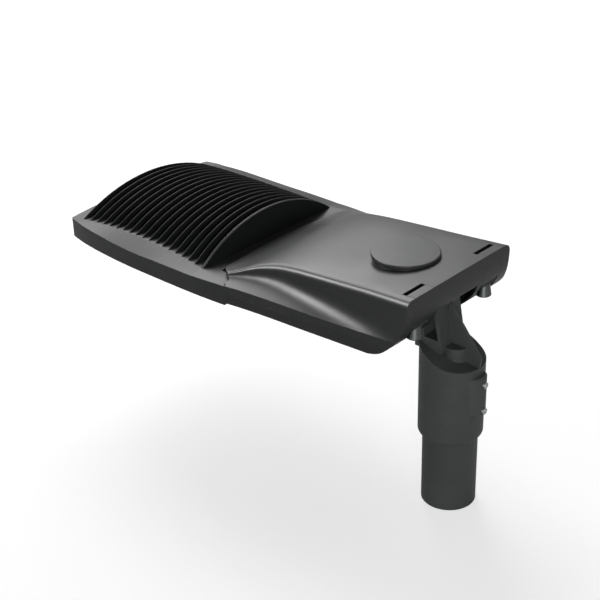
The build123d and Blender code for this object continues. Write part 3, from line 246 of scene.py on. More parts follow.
class Effects:
    """All shared effects, built once."""

    def __init__(self) -> None:
        """Build every shader group."""
        self.coat = self._coat_grain()
        self.edges = self._rounded_edges()
        self.dust = self._settled_dust()
        self.lines = self._drawn_lines()
        self.skin = self._moulded_skin()

    def _coat_grain(self) -> ShaderGroup:
        """Powder coat: fine orange peel, a faint mottle and tiny specks.

        Returns:
            The shader group.
        """
        group = ShaderGroup(
            "coat_grain",
            {"Dark": (0.02, 0.02, 0.02, 1.0), "Light": (0.03, 0.03, 0.03, 1.0),
             "Peel Scale": 620.0, "Roughness": 0.42},
            {"Color": "NodeSocketColor", "Roughness": "NodeSocketFloat", "Height": "NodeSocketFloat"},
        )
        sheet = group.sheet
        place = sheet.add("ShaderNodeTexCoord").outputs["Object"]
        peel = sheet.noise(place, group.given["Peel Scale"], 3.0, 0.55)
        fine = sheet.noise(place, 2600.0, 2.0)
        cloud = sheet.noise(place, 14.0, 4.0, 0.6)
        mottle = sheet.noise(place, 260.0, 2.0)
        share = sheet.math("MULTIPLY_ADD", sheet.remap(cloud, 0.36, 0.64, 0.0, 1.0), 0.6,
                           sheet.math("MULTIPLY", mottle, 0.4))
        speck = sheet.remap(fine, 0.66, 0.74, 0.0, 0.35)
        tone = sheet.mix_colour(share, group.given["Dark"], group.given["Light"])
        tone = sheet.mix_colour(speck, tone, opaque((0.11, 0.115, 0.115)))
        sheet.put(group.result["Color"], tone)
        wander = sheet.remap(cloud, 0.3, 0.7, -0.035, 0.035)
        rough = sheet.math("ADD", group.given["Roughness"], wander)
        rough = sheet.math("MULTIPLY_ADD", peel, 0.05, rough)
        sheet.put(group.result["Roughness"], rough)
        sheet.put(group.result["Height"], sheet.math("MULTIPLY_ADD", fine, 0.3, peel))
        return group

    def _rounded_edges(self) -> ShaderGroup:
        """Small rounds on hard edges, with a mask of where the edges are.

        Returns:
            The shader group.
        """
        group = ShaderGroup("rounded_edges", {"Radius": 0.0008},
                            {"Normal": "NodeSocketVector", "Edge": "NodeSocketFloat"})
        sheet = group.sheet
        bevel = sheet.add("ShaderNodeBevel", samples=6)
        sheet.put(bevel.inputs["Radius"], group.given["Radius"])
        geometry = sheet.add("ShaderNodeNewGeometry")
        agree = sheet.add("ShaderNodeVectorMath", operation="DOT_PRODUCT")
        sheet.put(agree.inputs[0], bevel.outputs[0])
        sheet.put(agree.inputs[1], geometry.outputs["Normal"])
        sheet.put(group.result["Normal"], bevel.outputs[0])
        sheet.put(group.result["Edge"], sheet.remap(agree.outputs["Value"], 0.995, 0.86, 0.0, 1.0))
        return group

    def _settled_dust(self) -> ShaderGroup:
        """A thin uneven film on faces that look upwards.

        Returns:
            The shader group.
        """
        group = ShaderGroup("settled_dust", {"Amount": 0.2, "Patch Scale": 30.0},
                            {"Mask": "NodeSocketFloat"})
        sheet = group.sheet
        coordinates = sheet.add("ShaderNodeTexCoord")
        split = sheet.add("ShaderNodeSeparateXYZ")
        sheet.put(split.inputs[0], coordinates.outputs["Normal"])
        upward = sheet.remap(split.outputs["Z"], 0.35, 0.95, 0.0, 1.0)
        patches = sheet.noise(coordinates.outputs["Object"], group.given["Patch Scale"], 5.0, 0.65)
        patches = sheet.remap(patches, 0.38, 0.66, 0.25, 1.0)
        mask = sheet.math("MULTIPLY", upward, patches)
        sheet.put(group.result["Mask"], sheet.math("MULTIPLY", mask, group.given["Amount"]))
        return group

    def _drawn_lines(self) -> ShaderGroup:
        """Fine lines of rolled, drawn or turned metal.

        Returns:
            The shader group.
        """
        group = ShaderGroup(
            "drawn_lines",
            {"Dark": (0.4, 0.4, 0.4, 1.0), "Light": (0.6, 0.6, 0.6, 1.0), "Along": 20.0,
             "Across": 2500.0, "Roughness": 0.3},
            {"Color": "NodeSocketColor", "Roughness": "NodeSocketFloat", "Height": "NodeSocketFloat"},
        )
        sheet = group.sheet
        split = sheet.add("ShaderNodeSeparateXYZ")
        sheet.put(split.inputs[0], sheet.add("ShaderNodeTexCoord").outputs["Object"])
        joined = sheet.add("ShaderNodeCombineXYZ")
        sheet.put(joined.inputs["X"], sheet.math("MULTIPLY", split.outputs["X"], group.given["Along"]))
        sheet.put(joined.inputs["Y"], sheet.math("MULTIPLY", split.outputs["Y"], group.given["Along"]))
        sheet.put(joined.inputs["Z"], sheet.math("MULTIPLY", split.outputs["Z"], group.given["Across"]))
        lines = sheet.noise(joined.outputs[0], 1.0, 3.0, 0.6)
        share = sheet.remap(lines, 0.32, 0.68, 0.0, 1.0)
        sheet.put(group.result["Color"], sheet.mix_colour(share, group.given["Dark"], group.given["Light"]))
        rough = sheet.math("MULTIPLY_ADD", share, 0.1, group.given["Roughness"])
        sheet.put(group.result["Roughness"], rough)
        sheet.put(group.result["Height"], lines)
        return group

    def _moulded_skin(self) -> ShaderGroup:
        """Fine eroded texture and slight tone drift of moulded plastic.

        Returns:
            The shader group.
        """
        group = ShaderGroup(
            "moulded_skin",
            {"Base": (0.05, 0.05, 0.05, 1.0), "Drift": (0.06, 0.06, 0.06, 1.0), "Texture Scale": 1500.0,
             "Roughness": 0.5},
            {"Color": "NodeSocketColor", "Roughness": "NodeSocketFloat", "Height": "NodeSocketFloat"},
        )
        sheet = group.sheet
        place = sheet.add("ShaderNodeTexCoord").outputs["Object"]
        drift = sheet.remap(sheet.noise(place, 35.0, 3.0), 0.35, 0.65, 0.0, 1.0)
        cells = sheet.add("ShaderNodeTexVoronoi", feature="SMOOTH_F1")
        sheet.put(cells.inputs["Vector"], place)
        sheet.put(cells.inputs["Scale"], group.given["Texture Scale"])
        height = cells.outputs["Distance"]
        sheet.put(group.result["Color"], sheet.mix_colour(drift, group.given["Base"], group.given["Drift"]))
        rough = sheet.math("MULTIPLY_ADD", height, 0.1, group.given["Roughness"])
        sheet.put(group.result["Roughness"], rough)
        sheet.put(group.result["Height"], height)
        return group


def new_material(name: str) -> tuple[bpy.types.Material, NodeSheet, bpy.types.Node]:
    """Make a material with its shader.

    Args:
        name: the material's name.

    Returns:
        The material, its nodes and its Principled shader.
    """
    material = bpy.data.materials.new(name)
    material.use_nodes = True
    shader = next(n for n in material.node_tree.nodes if n.type == "BSDF_PRINCIPLED")
    return material, NodeSheet(material.node_tree), shader


def relief(sheet: NodeSheet, height: Value, depth: float,
           normal: Optional[bpy.types.NodeSocket] = None) -> bpy.types.NodeSocket:
    """Turn a height into a normal.

    Args:
        sheet: the material's nodes.
        height: the height socket.
        depth: height of the relief in metres.
        normal: the normal that it starts from.

    Returns:
        The bumped normal.
    """
    bump = sheet.add("ShaderNodeBump")
    bump.inputs["Strength"].default_value = 1.0
    bump.inputs["Distance"].default_value = depth
    sheet.put(bump.inputs["Height"], height)
    if normal is not None:
        sheet.put(bump.inputs["Normal"], normal)
    return bump.outputs[0]


@dataclass(frozen=True)
class CoatedMetal:
    """Satin powder coat on a casting, tube or sheet."""

    name: str
    dark: Colour
    light: Colour
    roughness: float = 0.36
    peel: float = 620.0
    depth: float = 0.00002
    edge_radius: float = 0.0008
    # Light tone mixed in along edges: a painted highlight.
    edge_highlight_tone: Colour = (0.075, 0.08, 0.08)
    dust: float = 0.03
    specular: float = 0.28

    def build(self, effects: Effects) -> bpy.types.Material:
        """Make the material.

        Args:
            effects: the shared shader groups.

        Returns:
            The material.
        """
        material, sheet, shader = new_material(self.name)
        coat = effects.coat.place(sheet, Dark=opaque(self.dark), Light=opaque(self.light),
                                  Peel_Scale=self.peel, Roughness=self.roughness)
        edges = effects.edges.place(sheet, Radius=self.edge_radius)
        dust = effects.dust.place(sheet, Amount=self.dust, Patch_Scale=24.0)
        # Edges are mixed toward the light edge tone: a painted highlight along ridges and fin tops.
        edge_highlight_share = sheet.math("MULTIPLY", edges.outputs["Edge"], 0.6)
        tone = sheet.mix_colour(edge_highlight_share, coat.outputs["Color"], opaque(self.edge_highlight_tone))
        tone = sheet.mix_colour(dust.outputs["Mask"], tone, opaque((0.16, 0.165, 0.155)))
        rough = sheet.math("MULTIPLY_ADD", dust.outputs["Mask"], 0.25, coat.outputs["Roughness"])
        sheet.put(shader.inputs["Base Color"], tone)
        sheet.put(shader.inputs["Roughness"], rough)
        shader.inputs["Specular IOR Level"].default_value = self.specular
        bumped = relief(sheet, coat.outputs["Height"], self.depth, edges.outputs["Normal"])
        sheet.put(shader.inputs["Normal"], bumped)
        return material


@dataclass(frozen=True)
class BareMetal:
    """Plated, rolled or turned metal."""

    name: str
    dark: Colour
    light: Colour
    roughness: float = 0.28
    along: float = 30.0
    across: float = 2600.0
    edge_radius: float = 0.0003

    def build(self, effects: Effects) -> bpy.types.Material:
        """Make the material.

        Args:
            effects: the shared shader groups.

        Returns:
            The material.
        """
        material, sheet, shader = new_material(self.name)
        lines = effects.lines.place(sheet, Dark=opaque(self.dark), Light=opaque(self.light),
                                    Along=self.along, Across=self.across, Roughness=self.roughness)
        edges = effects.edges.place(sheet, Radius=self.edge_radius)
        # Edges are mixed toward a near-white tone: a painted highlight along edges.
        painted_edge_highlight = sheet.math("MULTIPLY", edges.outputs["Edge"], 0.35)
        tone = sheet.mix_colour(painted_edge_highlight, lines.outputs["Color"], opaque((0.8, 0.8, 0.79)))
        sheet.put(shader.inputs["Base Color"], tone)
        sheet.put(shader.inputs["Roughness"], lines.outputs["Roughness"])
        shader.inputs["Metallic"].default_value = 1.0
        bumped = relief(sheet, lines.outputs["Height"], 0.000008, edges.outputs["Normal"])
        sheet.put(shader.inputs["Normal"], bumped)
        return material


@dataclass(frozen=True)
class MouldedPlastic:
    """Injection-moulded plastic or rubber."""

    name: str
    base: Colour
    drift: Colour
    roughness: float = 0.5
    texture: float = 1500.0
    depth: float = 0.00002
    edge_radius: float = 0.0004
    dust: float = 0.0
    specular: float = 0.4

    def build(self, effects: Effects) -> bpy.types.Material:
        """Make the material.

        Args:
            effects: the shared shader groups.

        Returns:
            The material.
        """
        material, sheet, shader = new_material(self.name)
        skin = effects.skin.place(sheet, Base=opaque(self.base), Drift=opaque(self.drift),
                                  Texture_Scale=self.texture, Roughness=self.roughness)
        edges = effects.edges.place(sheet, Radius=self.edge_radius)
        dust = effects.dust.place(sheet, Amount=self.dust, Patch_Scale=60.0)
        tone = sheet.mix_colour(dust.outputs["Mask"], skin.outputs["Color"], opaque((0.3, 0.3, 0.29)))
        sheet.put(shader.inputs["Base Color"], tone)
        sheet.put(shader.inputs["Roughness"], skin.outputs["Roughness"])
        shader.inputs["Specular IOR Level"].default_value = self.specular
        bumped = relief(sheet, skin.outputs["Height"], self.depth, edges.outputs["Normal"])
        sheet.put(shader.inputs["Normal"], bumped)
        return material


@dataclass(frozen=True)
class ClearMaterial:
    """Clear glass or acrylic."""

    name: str
    tint: Colour
    roughness: float
    ior: float

    def build(self, effects: Effects) -> bpy.types.Material:
        """Make the material.

        Args:
            effects: the shared shader groups.

        Returns:
            The material.
        """
        material, sheet, shader = new_material(self.name)
        skin = effects.skin.place(sheet, Base=opaque(self.tint),
                                  Drift=opaque(tuple(c * 0.985 for c in self.tint)),
                                  Texture_Scale=90.0, Roughness=self.roughness)
        sheet.put(shader.inputs["Base Color"], skin.outputs["Color"])
        smear = sheet.remap(skin.outputs["Roughness"], self.roughness, self.roughness + 0.1,
                            self.roughness, self.roughness + 0.03)
        sheet.put(shader.inputs["Roughness"], smear)
        shader.inputs["Transmission Weight"].default_value = 1.0
        shader.inputs["IOR"].default_value = self.ior
        return material


@dataclass(frozen=True)
class LightChip:
    """White ceramic package with a yellow phosphor disc, told apart by the piece's own attribute."""

    name: str
    attribute: str

    def build(self, effects: Effects) -> bpy.types.Material:
        """Make the material.

        Args:
            effects: the shared shader groups.

        Returns:
            The material.
        """
        material, sheet, shader = new_material(self.name)
        skin = effects.skin.place(sheet, Base=opaque((0.8, 0.8, 0.77)), Drift=opaque((0.74, 0.74, 0.7)),
                                  Texture_Scale=3000.0, Roughness=0.35)
        disc = sheet.add("ShaderNodeAttribute", attribute_name=self.attribute).outputs["Fac"]
        share = sheet.remap(disc, 0.45, 0.55, 0.0, 1.0)
        tone = sheet.mix_colour(share, skin.outputs["Color"], opaque((0.86, 0.62, 0.08)))
        sheet.put(shader.inputs["Base Color"], tone)
        sheet.put(shader.inputs["Roughness"], skin.outputs["Roughness"])
        sheet.put(shader.inputs["Normal"], relief(sheet, skin.outputs["Height"], 0.00001))
        return material


@dataclass(frozen=True)
class BoardMask:
    """White circuit board with copper tracks under its mask."""

    name: str
    track_pitch: float = 0.025

    def build(self, effects: Effects) -> bpy.types.Material:
        """Make the material.

        Args:
            effects: the shared shader groups.

        Returns:
            The material.
        """
        material, sheet, shader = new_material(self.name)
        skin = effects.skin.place(sheet, Base=opaque((0.8, 0.82, 0.8)), Drift=opaque((0.75, 0.78, 0.76)),
                                  Texture_Scale=1800.0, Roughness=0.32)
        split = sheet.add("ShaderNodeSeparateXYZ")
        sheet.put(split.inputs[0], sheet.add("ShaderNodeTexCoord").outputs["Object"])
        across = sheet.math("ADD", sheet.math("DIVIDE", split.outputs["Y"], self.track_pitch), 0.1)
        bar = sheet.math("ABSOLUTE", sheet.math("SUBTRACT", sheet.math("FRACT", across), 0.5))
        track = sheet.remap(bar, 0.10, 0.13, 0.0, 1.0)
        tone = sheet.mix_colour(sheet.math("MULTIPLY", track, 0.25), skin.outputs["Color"],
                                opaque((0.62, 0.66, 0.62)))
        sheet.put(shader.inputs["Base Color"], tone)
        sheet.put(shader.inputs["Roughness"], skin.outputs["Roughness"])
        sheet.put(shader.inputs["Normal"], relief(sheet, track, 0.00004))
        return material


Finish = Union[CoatedMetal, BareMetal, MouldedPlastic, ClearMaterial, LightChip, BoardMask]

DISC_ATTRIBUTE = "phosphor_disc"
CASTING = CoatedMetal("satin_anthracite_coat", (0.017, 0.0182, 0.018), (0.023, 0.0245, 0.024))
COVER_COAT = CoatedMetal("cover_coat", (0.018, 0.0192, 0.019), (0.024, 0.0256, 0.025), roughness=0.34,
                         specular=0.34)
# Fin coat: a darker, less glossy copy of the casting coat, as painted shade in the gaps between fins; its
# light edge tone is a painted highlight on the fin tops.
FIN_SHADED_COAT = CoatedMetal("fin_coat_painted_shade", (0.009, 0.0096, 0.0098), (0.013, 0.0138, 0.014), roughness=0.44,
                       edge_radius=0.0005, edge_highlight_tone=(0.30, 0.31, 0.31), dust=0.0, specular=0.12)
BRACKET_COAT = CoatedMetal("bracket_coat", (0.050, 0.0555, 0.0535), (0.068, 0.0755, 0.0725),
                           roughness=0.46, peel=480.0, depth=0.00003, dust=0.03)
POLE_COAT = CoatedMetal("pole_coat", (0.048, 0.0545, 0.052), (0.066, 0.0745, 0.0710), roughness=0.46,
                        peel=420.0, dust=0.0)
ZINC = BareMetal("zinc_plate", (0.48, 0.49, 0.5), (0.66, 0.67, 0.68))
KNOB_METAL = BareMetal("turned_knob", (0.10, 0.11, 0.11), (0.19, 0.205, 0.20), roughness=0.34,
                       along=60.0, across=1400.0)
SHEET = BareMetal("galvanised_sheet", (0.5, 0.51, 0.52), (0.62, 0.63, 0.64), roughness=0.42,
                  along=90.0, across=90.0)
CASE = BareMetal("driver_case_metal", (0.6, 0.61, 0.62), (0.7, 0.71, 0.72), roughness=0.38,
                 along=400.0, across=400.0)
BRASS = BareMetal("contact_brass", (0.62, 0.45, 0.2), (0.76, 0.58, 0.3), roughness=0.25)
RUBBER = MouldedPlastic("seal_rubber_skin", (0.018, 0.018, 0.019), (0.026, 0.026, 0.027), roughness=0.72)
CAP_SKIN = MouldedPlastic("cap_skin", (0.028, 0.030, 0.030), (0.034, 0.036, 0.0355), roughness=0.34,
                          edge_radius=0.0006, dust=0.02, specular=0.34)
DARK_SKIN = MouldedPlastic("socket_skin", (0.015, 0.015, 0.016), (0.022, 0.022, 0.023), roughness=0.5)
WHITE_SKIN = MouldedPlastic("white_housing_skin", (0.72, 0.73, 0.71), (0.66, 0.67, 0.65), roughness=0.42)
POLYAMIDE = MouldedPlastic("polyamide_skin", (0.03, 0.03, 0.031), (0.04, 0.04, 0.041), roughness=0.55,
                           texture=1100.0)
PANE = ClearMaterial("flat_glass", (0.93, 0.97, 0.955), 0.01, 1.5)
ACRYLIC = ClearMaterial("clear_acrylic", (0.97, 0.98, 0.98), 0.03, 1.49)
CHIP = LightChip("light_chip", DISC_ATTRIBUTE)
BOARD = BoardMask("white_board")


class Workshop:
    """Keeps the frame, the effects and the finished materials."""

    def __init__(self, frame: dict[str, object]) -> None:
        """Take the loaded frame and build the shared effects.
        """
        self.nodes = frame["nodes"]
        self.effects = Effects()
        self.made: dict[str, bpy.types.Material] = {}

    def material(self, finish: Finish) -> bpy.types.Material:
        """Return the finish's material, made on first use.

        Args:
            finish: the finish.

        Returns:
            The material.
        """
        if finish.name not in self.made:
            self.made[finish.name] = finish.build(self.effects)
        return self.made[finish.name]

    def dress(self, finish: Finish, *names: str) -> None:
        """Give construction nodes a finish.

        Args:
            finish: the finish.
            names: the nodes.
        """
        for name in names:
            node = self.nodes[name]
            if not node.data.materials:
                node.data.materials.append(None)
            for index in range(len(node.data.materials)):
                node.data.materials[index] = self.material(finish)
            LOG.info("dressed %s with %s", name, finish.name)

    def register(self, piece: bpy.types.Object, body: Body, slot: Slot, *replaced: str) -> None:
        """Hand a finished piece to the frame.

        Args:
            piece: the object.
            body: the body it rides on.
            slot: its material slot; not used.
            replaced: the construction nodes that it stands for.
        """
        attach(piece, body.value)
        if replaced:
            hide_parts(*replaced)
        LOG.info("built %s: %d faces", piece.name, len(piece.data.polygons))


def stacked_loops(name: str, loops: Sequence[Loop]) -> bpy.types.Mesh:
    """Join closed loops of equal count into a capped shell.

    Args:
        name: name of the mesh.
        loops: the loops, in order.

    Returns:
        A closed mesh with outward faces.
    """
    builder = bmesh.new()
    rings = [[builder.verts.new(point) for point in loop] for loop in loops]
    count = len(loops[0])
    for lower, upper in zip(rings, rings[1:]):
        for index in range(count):
            after = (index + 1) % count
            builder.faces.new((lower[index], lower[after], upper[after], upper[index]))
    builder.faces.new(list(reversed(rings[0])))
    builder.faces.new(rings[-1])
    bmesh.ops.recalc_face_normals(builder, faces=builder.faces)
    mesh = bpy.data.meshes.new(name)
    builder.to_mesh(mesh)
    builder.free()
    return mesh


def circle(radius: float, height: float, count: int) -> Loop:
    """Return points of a circle round Z."""
    turns = [2 * math.pi * (i + 0.5) / count for i in range(count)]
    return [(radius * math.cos(a), radius * math.sin(a), height) for a in turns]


def polygon_loop(sides: int, inradius: float, height: float, count: int, softness: float = 0.0) -> Loop:
    """Return points of a regular polygon round Z.

    Args:
        sides: number of flats.
        inradius: distance of the flats from the middle.
        height: height of the loop.
        count: number of points.
        softness: 0 for sharp corners, 1 for a circle.

    Returns:
        The points.
    """
    points = []
    for index in range(count):
        angle = 2 * math.pi * (index + 0.5) / count
        local = (angle + math.pi / sides) % (2 * math.pi / sides) - math.pi / sides
        radius = inradius * ((1 - softness) / math.cos(local) + softness)
        points.append((radius * math.cos(angle), radius * math.sin(angle), height))
    return points


def finish_edges(mesh: bpy.types.Mesh, degrees: float) -> None:
    """Shade a mesh smooth, apart from its sharper edges.

    Args:
        mesh: the mesh.
        degrees: angle above which an edge stays sharp.
    """
    mesh.shade_smooth()
    mesh.set_sharp_from_angle(angle=math.radians(degrees))


def new_piece(name: str, mesh: bpy.types.Mesh,
              material: Optional[bpy.types.Material] = None) -> bpy.types.Object:
    """Link a mesh into the scene as a piece.

    Args:
        name: name of the piece.
        mesh: its mesh.
        material: its material, if the mesh has none.

    Returns:
        The object.
    """
    piece = bpy.data.objects.new(name, mesh)
    bpy.context.scene.collection.objects.link(piece)
    if material is not None:
        mesh.materials.clear()
        mesh.materials.append(material)
    return piece


class GeometryRecipe:
    """A Geometry Nodes tree with named inputs, baked into a plain mesh."""

    def __init__(self, name: str, inputs: dict[str, tuple[str, object]]) -> None:
        """Make the tree with its sockets.

        Args:
            name: name of the tree.
            inputs: socket names with socket type and value.
        """
        self.name = name
        self.values: dict[str, object] = {}
        self.tree = bpy.data.node_groups.new(name, "GeometryNodeTree")
        face = self.tree.interface
        face.new_socket(name="Geometry", in_out="INPUT", socket_type="NodeSocketGeometry")
        for label, (kind, value) in inputs.items():
            socket = face.new_socket(name=label, in_out="INPUT", socket_type=kind)
            self.values[socket.identifier] = value
        face.new_socket(name="Geometry", in_out="OUTPUT", socket_type="NodeSocketGeometry")
        self.sheet = NodeSheet(self.tree)
        self.given = self.sheet.add("NodeGroupInput").outputs
        self.result = self.sheet.add("NodeGroupOutput").inputs

    def close(self, geometry: bpy.types.NodeSocket) -> None:
        """End the tree in Realize Instances and Set Material.

        Args:
            geometry: the geometry to finish.
        """
        real = self.sheet.add("GeometryNodeRealizeInstances")
        self.sheet.put(real.inputs[0], geometry)
        paint = self.sheet.add("GeometryNodeSetMaterial")
        self.sheet.put(paint.inputs["Geometry"], real.outputs[0])
        self.sheet.put(paint.inputs["Material"], self.given["Material"])
        self.sheet.put(self.result[0], paint.outputs[0])

    def bake(self, piece_name: str, start: bpy.types.Mesh) -> bpy.types.Object:
        """Run the tree on a mesh and keep the plain result.

        Args:
            piece_name: name of the baked piece.
            start: the mesh that the tree is given.

        Returns:
            The baked object, without a modifier.
        """
        carrier = bpy.data.objects.new(piece_name + "_carrier", start)
        bpy.context.scene.collection.objects.link(carrier)
        modifier = carrier.modifiers.new(self.name, "NODES")
        modifier.node_group = self.tree
        for identifier, value in self.values.items():
            modifier[identifier] = value
        bpy.context.view_layer.update()
        graph = bpy.context.evaluated_depsgraph_get()
        mesh = bpy.data.meshes.new_from_object(carrier.evaluated_get(graph))
        carrier.modifiers.clear()
        bpy.data.objects.remove(carrier)
        mesh.name = piece_name
        return new_piece(piece_name, mesh)


def point_mesh(name: str, points: Iterable[Point]) -> bpy.types.Mesh:
    """Return a mesh of loose points."""
    mesh = bpy.data.meshes.new(name)
    mesh.from_pydata(list(points), [], [])
    return mesh


class RepeatedPart:
    """Sets one small part on many points with Geometry Nodes."""

    def __init__(self, shop: Workshop) -> None:
        """Keep the workshop.

        Args:
            shop: the workshop with materials and frame.
        """
        self.shop = shop

    def make(self, name: str, template: bpy.types.Mesh, places: Sequence[Point], finish: Finish,
             turn_range: float = 0.0, sharp: float = 35.0) -> bpy.types.Object:
        """Place the part on every point, each turned a little at random.

        Args:
            name: name of the piece.
            template: mesh of one part, drawn round the origin.
            places: where the parts go.
            finish: their finish.
            turn_range: largest random turn about Z, in radians.
            sharp: angle above which an edge stays sharp, in degrees.

        Returns:
            The baked piece.
        """
        holder = bpy.data.objects.new(name + "_template", template)
        bpy.context.scene.collection.objects.link(holder)
        recipe = GeometryRecipe(name + "_rule", {
            "Part": ("NodeSocketObject", holder),
            "Turn Range": ("NodeSocketFloat", turn_range),
            "Seed": ("NodeSocketInt", SEED),
            "Material": ("NodeSocketMaterial", self.shop.material(finish)),
        })
        sheet = recipe.sheet
        info = sheet.add("GeometryNodeObjectInfo", transform_space="ORIGINAL")
        sheet.put(info.inputs["Object"], recipe.given["Part"])
        turn = sheet.add("FunctionNodeRandomValue", data_type="FLOAT")
        low, high = turn.inputs[2], turn.inputs[3]
        sheet.put(low, 0.0)
        sheet.put(high, recipe.given["Turn Range"])
        sheet.put(turn.inputs["Seed"], recipe.given["Seed"])
        spin = sheet.add("ShaderNodeCombineXYZ")
        sheet.put(spin.inputs["Z"], turn.outputs[1])
        cloud = sheet.add("GeometryNodeMeshToPoints")
        sheet.put(cloud.inputs["Mesh"], recipe.given["Geometry"])
        copies = sheet.add("GeometryNodeInstanceOnPoints")
        sheet.put(copies.inputs["Points"], cloud.outputs[0])
        sheet.put(copies.inputs["Instance"], info.outputs["Geometry"])
        sheet.put(copies.inputs["Rotation"], spin.outputs[0])
        recipe.close(copies.outputs[0])
        piece = recipe.bake(name, point_mesh(name + "_points", places))
        bpy.data.objects.remove(holder)
        finish_edges(piece.data, sharp)
        return piece


@dataclass
class CoolingFins:
    """The field of arched cross fins."""

    shop: Workshop
    count: int = 19
    first_x: float = -0.5895
    last_x: float = -0.3359
    thickness: float = 0.0022
    end_wall: float = 0.005
    first_peak: float = 0.0345
    last_peak: float = 0.047
    middle_half_width: float = 0.129
    end_half_width: float = 0.1336
    rise: float = 0.0063
    edge_round: float = 0.0006
    sink: float = 0.0004

    def build(self) -> bpy.types.Object:
        """Build the fins from their rule.

        Returns:
            The baked piece.
        """
        number = "NodeSocketFloat"
        recipe = GeometryRecipe("fin_rule", {
            "Count": ("NodeSocketInt", self.count),
            "First Place": (number, self.first_x),
            "Last Place": (number, self.last_x),
            "Thickness": (number, self.thickness),
            "End Wall": (number, self.end_wall),
            "First Peak": (number, self.first_peak),
            "Last Peak": (number, self.last_peak),
            "Middle Half Width": (number, self.middle_half_width),
            "End Half Width": (number, self.end_half_width),
            "Rise": (number, self.rise),
            "Edge Round": (number, self.edge_round),
            "Sink": (number, self.sink),
            "Material": ("NodeSocketMaterial", self.shop.material(FIN_SHADED_COAT)),
        })
        sheet, given = recipe.sheet, recipe.given
        blank = sheet.add("GeometryNodeMeshCube")
        for label, amount in (("Vertices X", 7), ("Vertices Y", 101), ("Vertices Z", 3)):
            blank.inputs[label].default_value = amount
        blank.inputs["Size"].default_value = (1.0, 1.0, 1.0)
        row = sheet.add("GeometryNodeMeshLine")
        sheet.put(row.inputs["Count"], given["Count"])
        row.inputs["Offset"].default_value = (0.0, 0.0, 0.0)
        mark = sheet.add("GeometryNodeStoreNamedAttribute", data_type="FLOAT", domain="POINT")
        sheet.put(mark.inputs["Geometry"], row.outputs[0])
        sheet.put(mark.inputs["Name"], "fin_number")
        sheet.put(mark.inputs["Value"], sheet.add("GeometryNodeInputIndex").outputs[0])
        copies = sheet.add("GeometryNodeInstanceOnPoints")
        sheet.put(copies.inputs["Points"], mark.outputs[0])
        sheet.put(copies.inputs["Instance"], blank.outputs[0])
        loose = sheet.add("GeometryNodeRealizeInstances")
        sheet.put(loose.inputs[0], copies.outputs[0])
        shaped = sheet.add("GeometryNodeSetPosition")
        sheet.put(shaped.inputs["Geometry"], loose.outputs[0])
        sheet.put(shaped.inputs["Position"], self._place(sheet, given))
        recipe.close(shaped.outputs[0])
        piece = recipe.bake("arched_cooling_fins", point_mesh("fin_start", [(0.0, 0.0, 0.0)]))
        finish_edges(piece.data, 50.0)
        self.shop.register(piece, Body.LAMP, Slot.CASTING, "cooling_fins")
        return piece

    def _place(self, sheet: NodeSheet, given: bpy.types.NodeOutputs) -> bpy.types.NodeSocket:
        """Work out the place of each corner of each fin.

        Args:
            sheet: the tree's nodes.
            given: the tree's inputs.

        Returns:
            The position socket.
        """
        calc = sheet.math
        number = sheet.add("GeometryNodeInputNamedAttribute", data_type="FLOAT")
        number.inputs["Name"].default_value = "fin_number"
        index = number.outputs["Attribute"]
        local = sheet.add("ShaderNodeSeparateXYZ")
        sheet.put(local.inputs[0], sheet.add("GeometryNodeInputPosition").outputs[0])
        last = calc("SUBTRACT", given["Count"], 1.0)
        share = calc("DIVIDE", index, last)
        offset = calc("MULTIPLY_ADD", share, 2.0, -1.0)
        squared = calc("MULTIPLY", offset, offset)
        spread = calc("SUBTRACT", given["End Half Width"], given["Middle Half Width"])
        half_width = calc("MULTIPLY_ADD", spread, squared, given["Middle Half Width"])
        foot = calc("MULTIPLY", given["Rise"], calc("SUBTRACT", 1.0, squared))
        peak_gain = calc("SUBTRACT", given["Last Peak"], given["First Peak"])
        peak = calc("MULTIPLY_ADD", peak_gain, share, given["First Peak"])
        arch = calc("SUBTRACT", peak, foot)
        chord = calc("MULTIPLY", half_width, half_width)
        radius = calc("DIVIDE", calc("MULTIPLY_ADD", arch, arch, chord), calc("MULTIPLY", arch, 2.0))
        across = calc("MULTIPLY", calc("MULTIPLY", local.outputs["Y"], 2.0), half_width)
        drop = calc("SUBTRACT", calc("MULTIPLY", radius, radius), calc("MULTIPLY", across, across))
        crest = calc("ADD", calc("SUBTRACT", peak, radius), calc("SQRT", drop))
        side = calc("ABSOLUTE", calc("MULTIPLY", local.outputs["X"], 2.0))
        softened = calc("MULTIPLY", calc("POWER", side, 5.0), given["Edge Round"])
        crest = calc("SUBTRACT", crest, softened)
        level = calc("ADD", local.outputs["Z"], 0.5)
        base = calc("SUBTRACT", foot, given["Sink"])
        height = calc("MULTIPLY_ADD", calc("SUBTRACT", crest, base), level, base)
        height = calc("MAXIMUM", height, base)
        is_last = calc("GREATER_THAN", share, 0.999)
        extra = calc("MULTIPLY", is_last, calc("SUBTRACT", given["End Wall"], given["Thickness"]))
        thick = calc("ADD", given["Thickness"], extra)
        run = calc("SUBTRACT", given["Last Place"], given["First Place"])
        middle = calc("MULTIPLY_ADD", run, share, given["First Place"])
        middle = calc("MULTIPLY_ADD", extra, 0.5, middle)
        place = sheet.add("ShaderNodeCombineXYZ")
        sheet.put(place.inputs["X"], calc("MULTIPLY_ADD", local.outputs["X"], thick, middle))
        sheet.put(place.inputs["Y"], across)
        sheet.put(place.inputs["Z"], calc("ADD", height, RIM_Z))
        return place.outputs[0]


@dataclass
class Housing:
    """The lower casting with its fins."""

    shop: Workshop

    def build(self) -> None:
        """Dress the casting and build its fins."""
        self.shop.dress(CASTING, "housing")
        CoolingFins(self.shop).build()
        self.shop.dress(POLYAMIDE, "breather_plug")


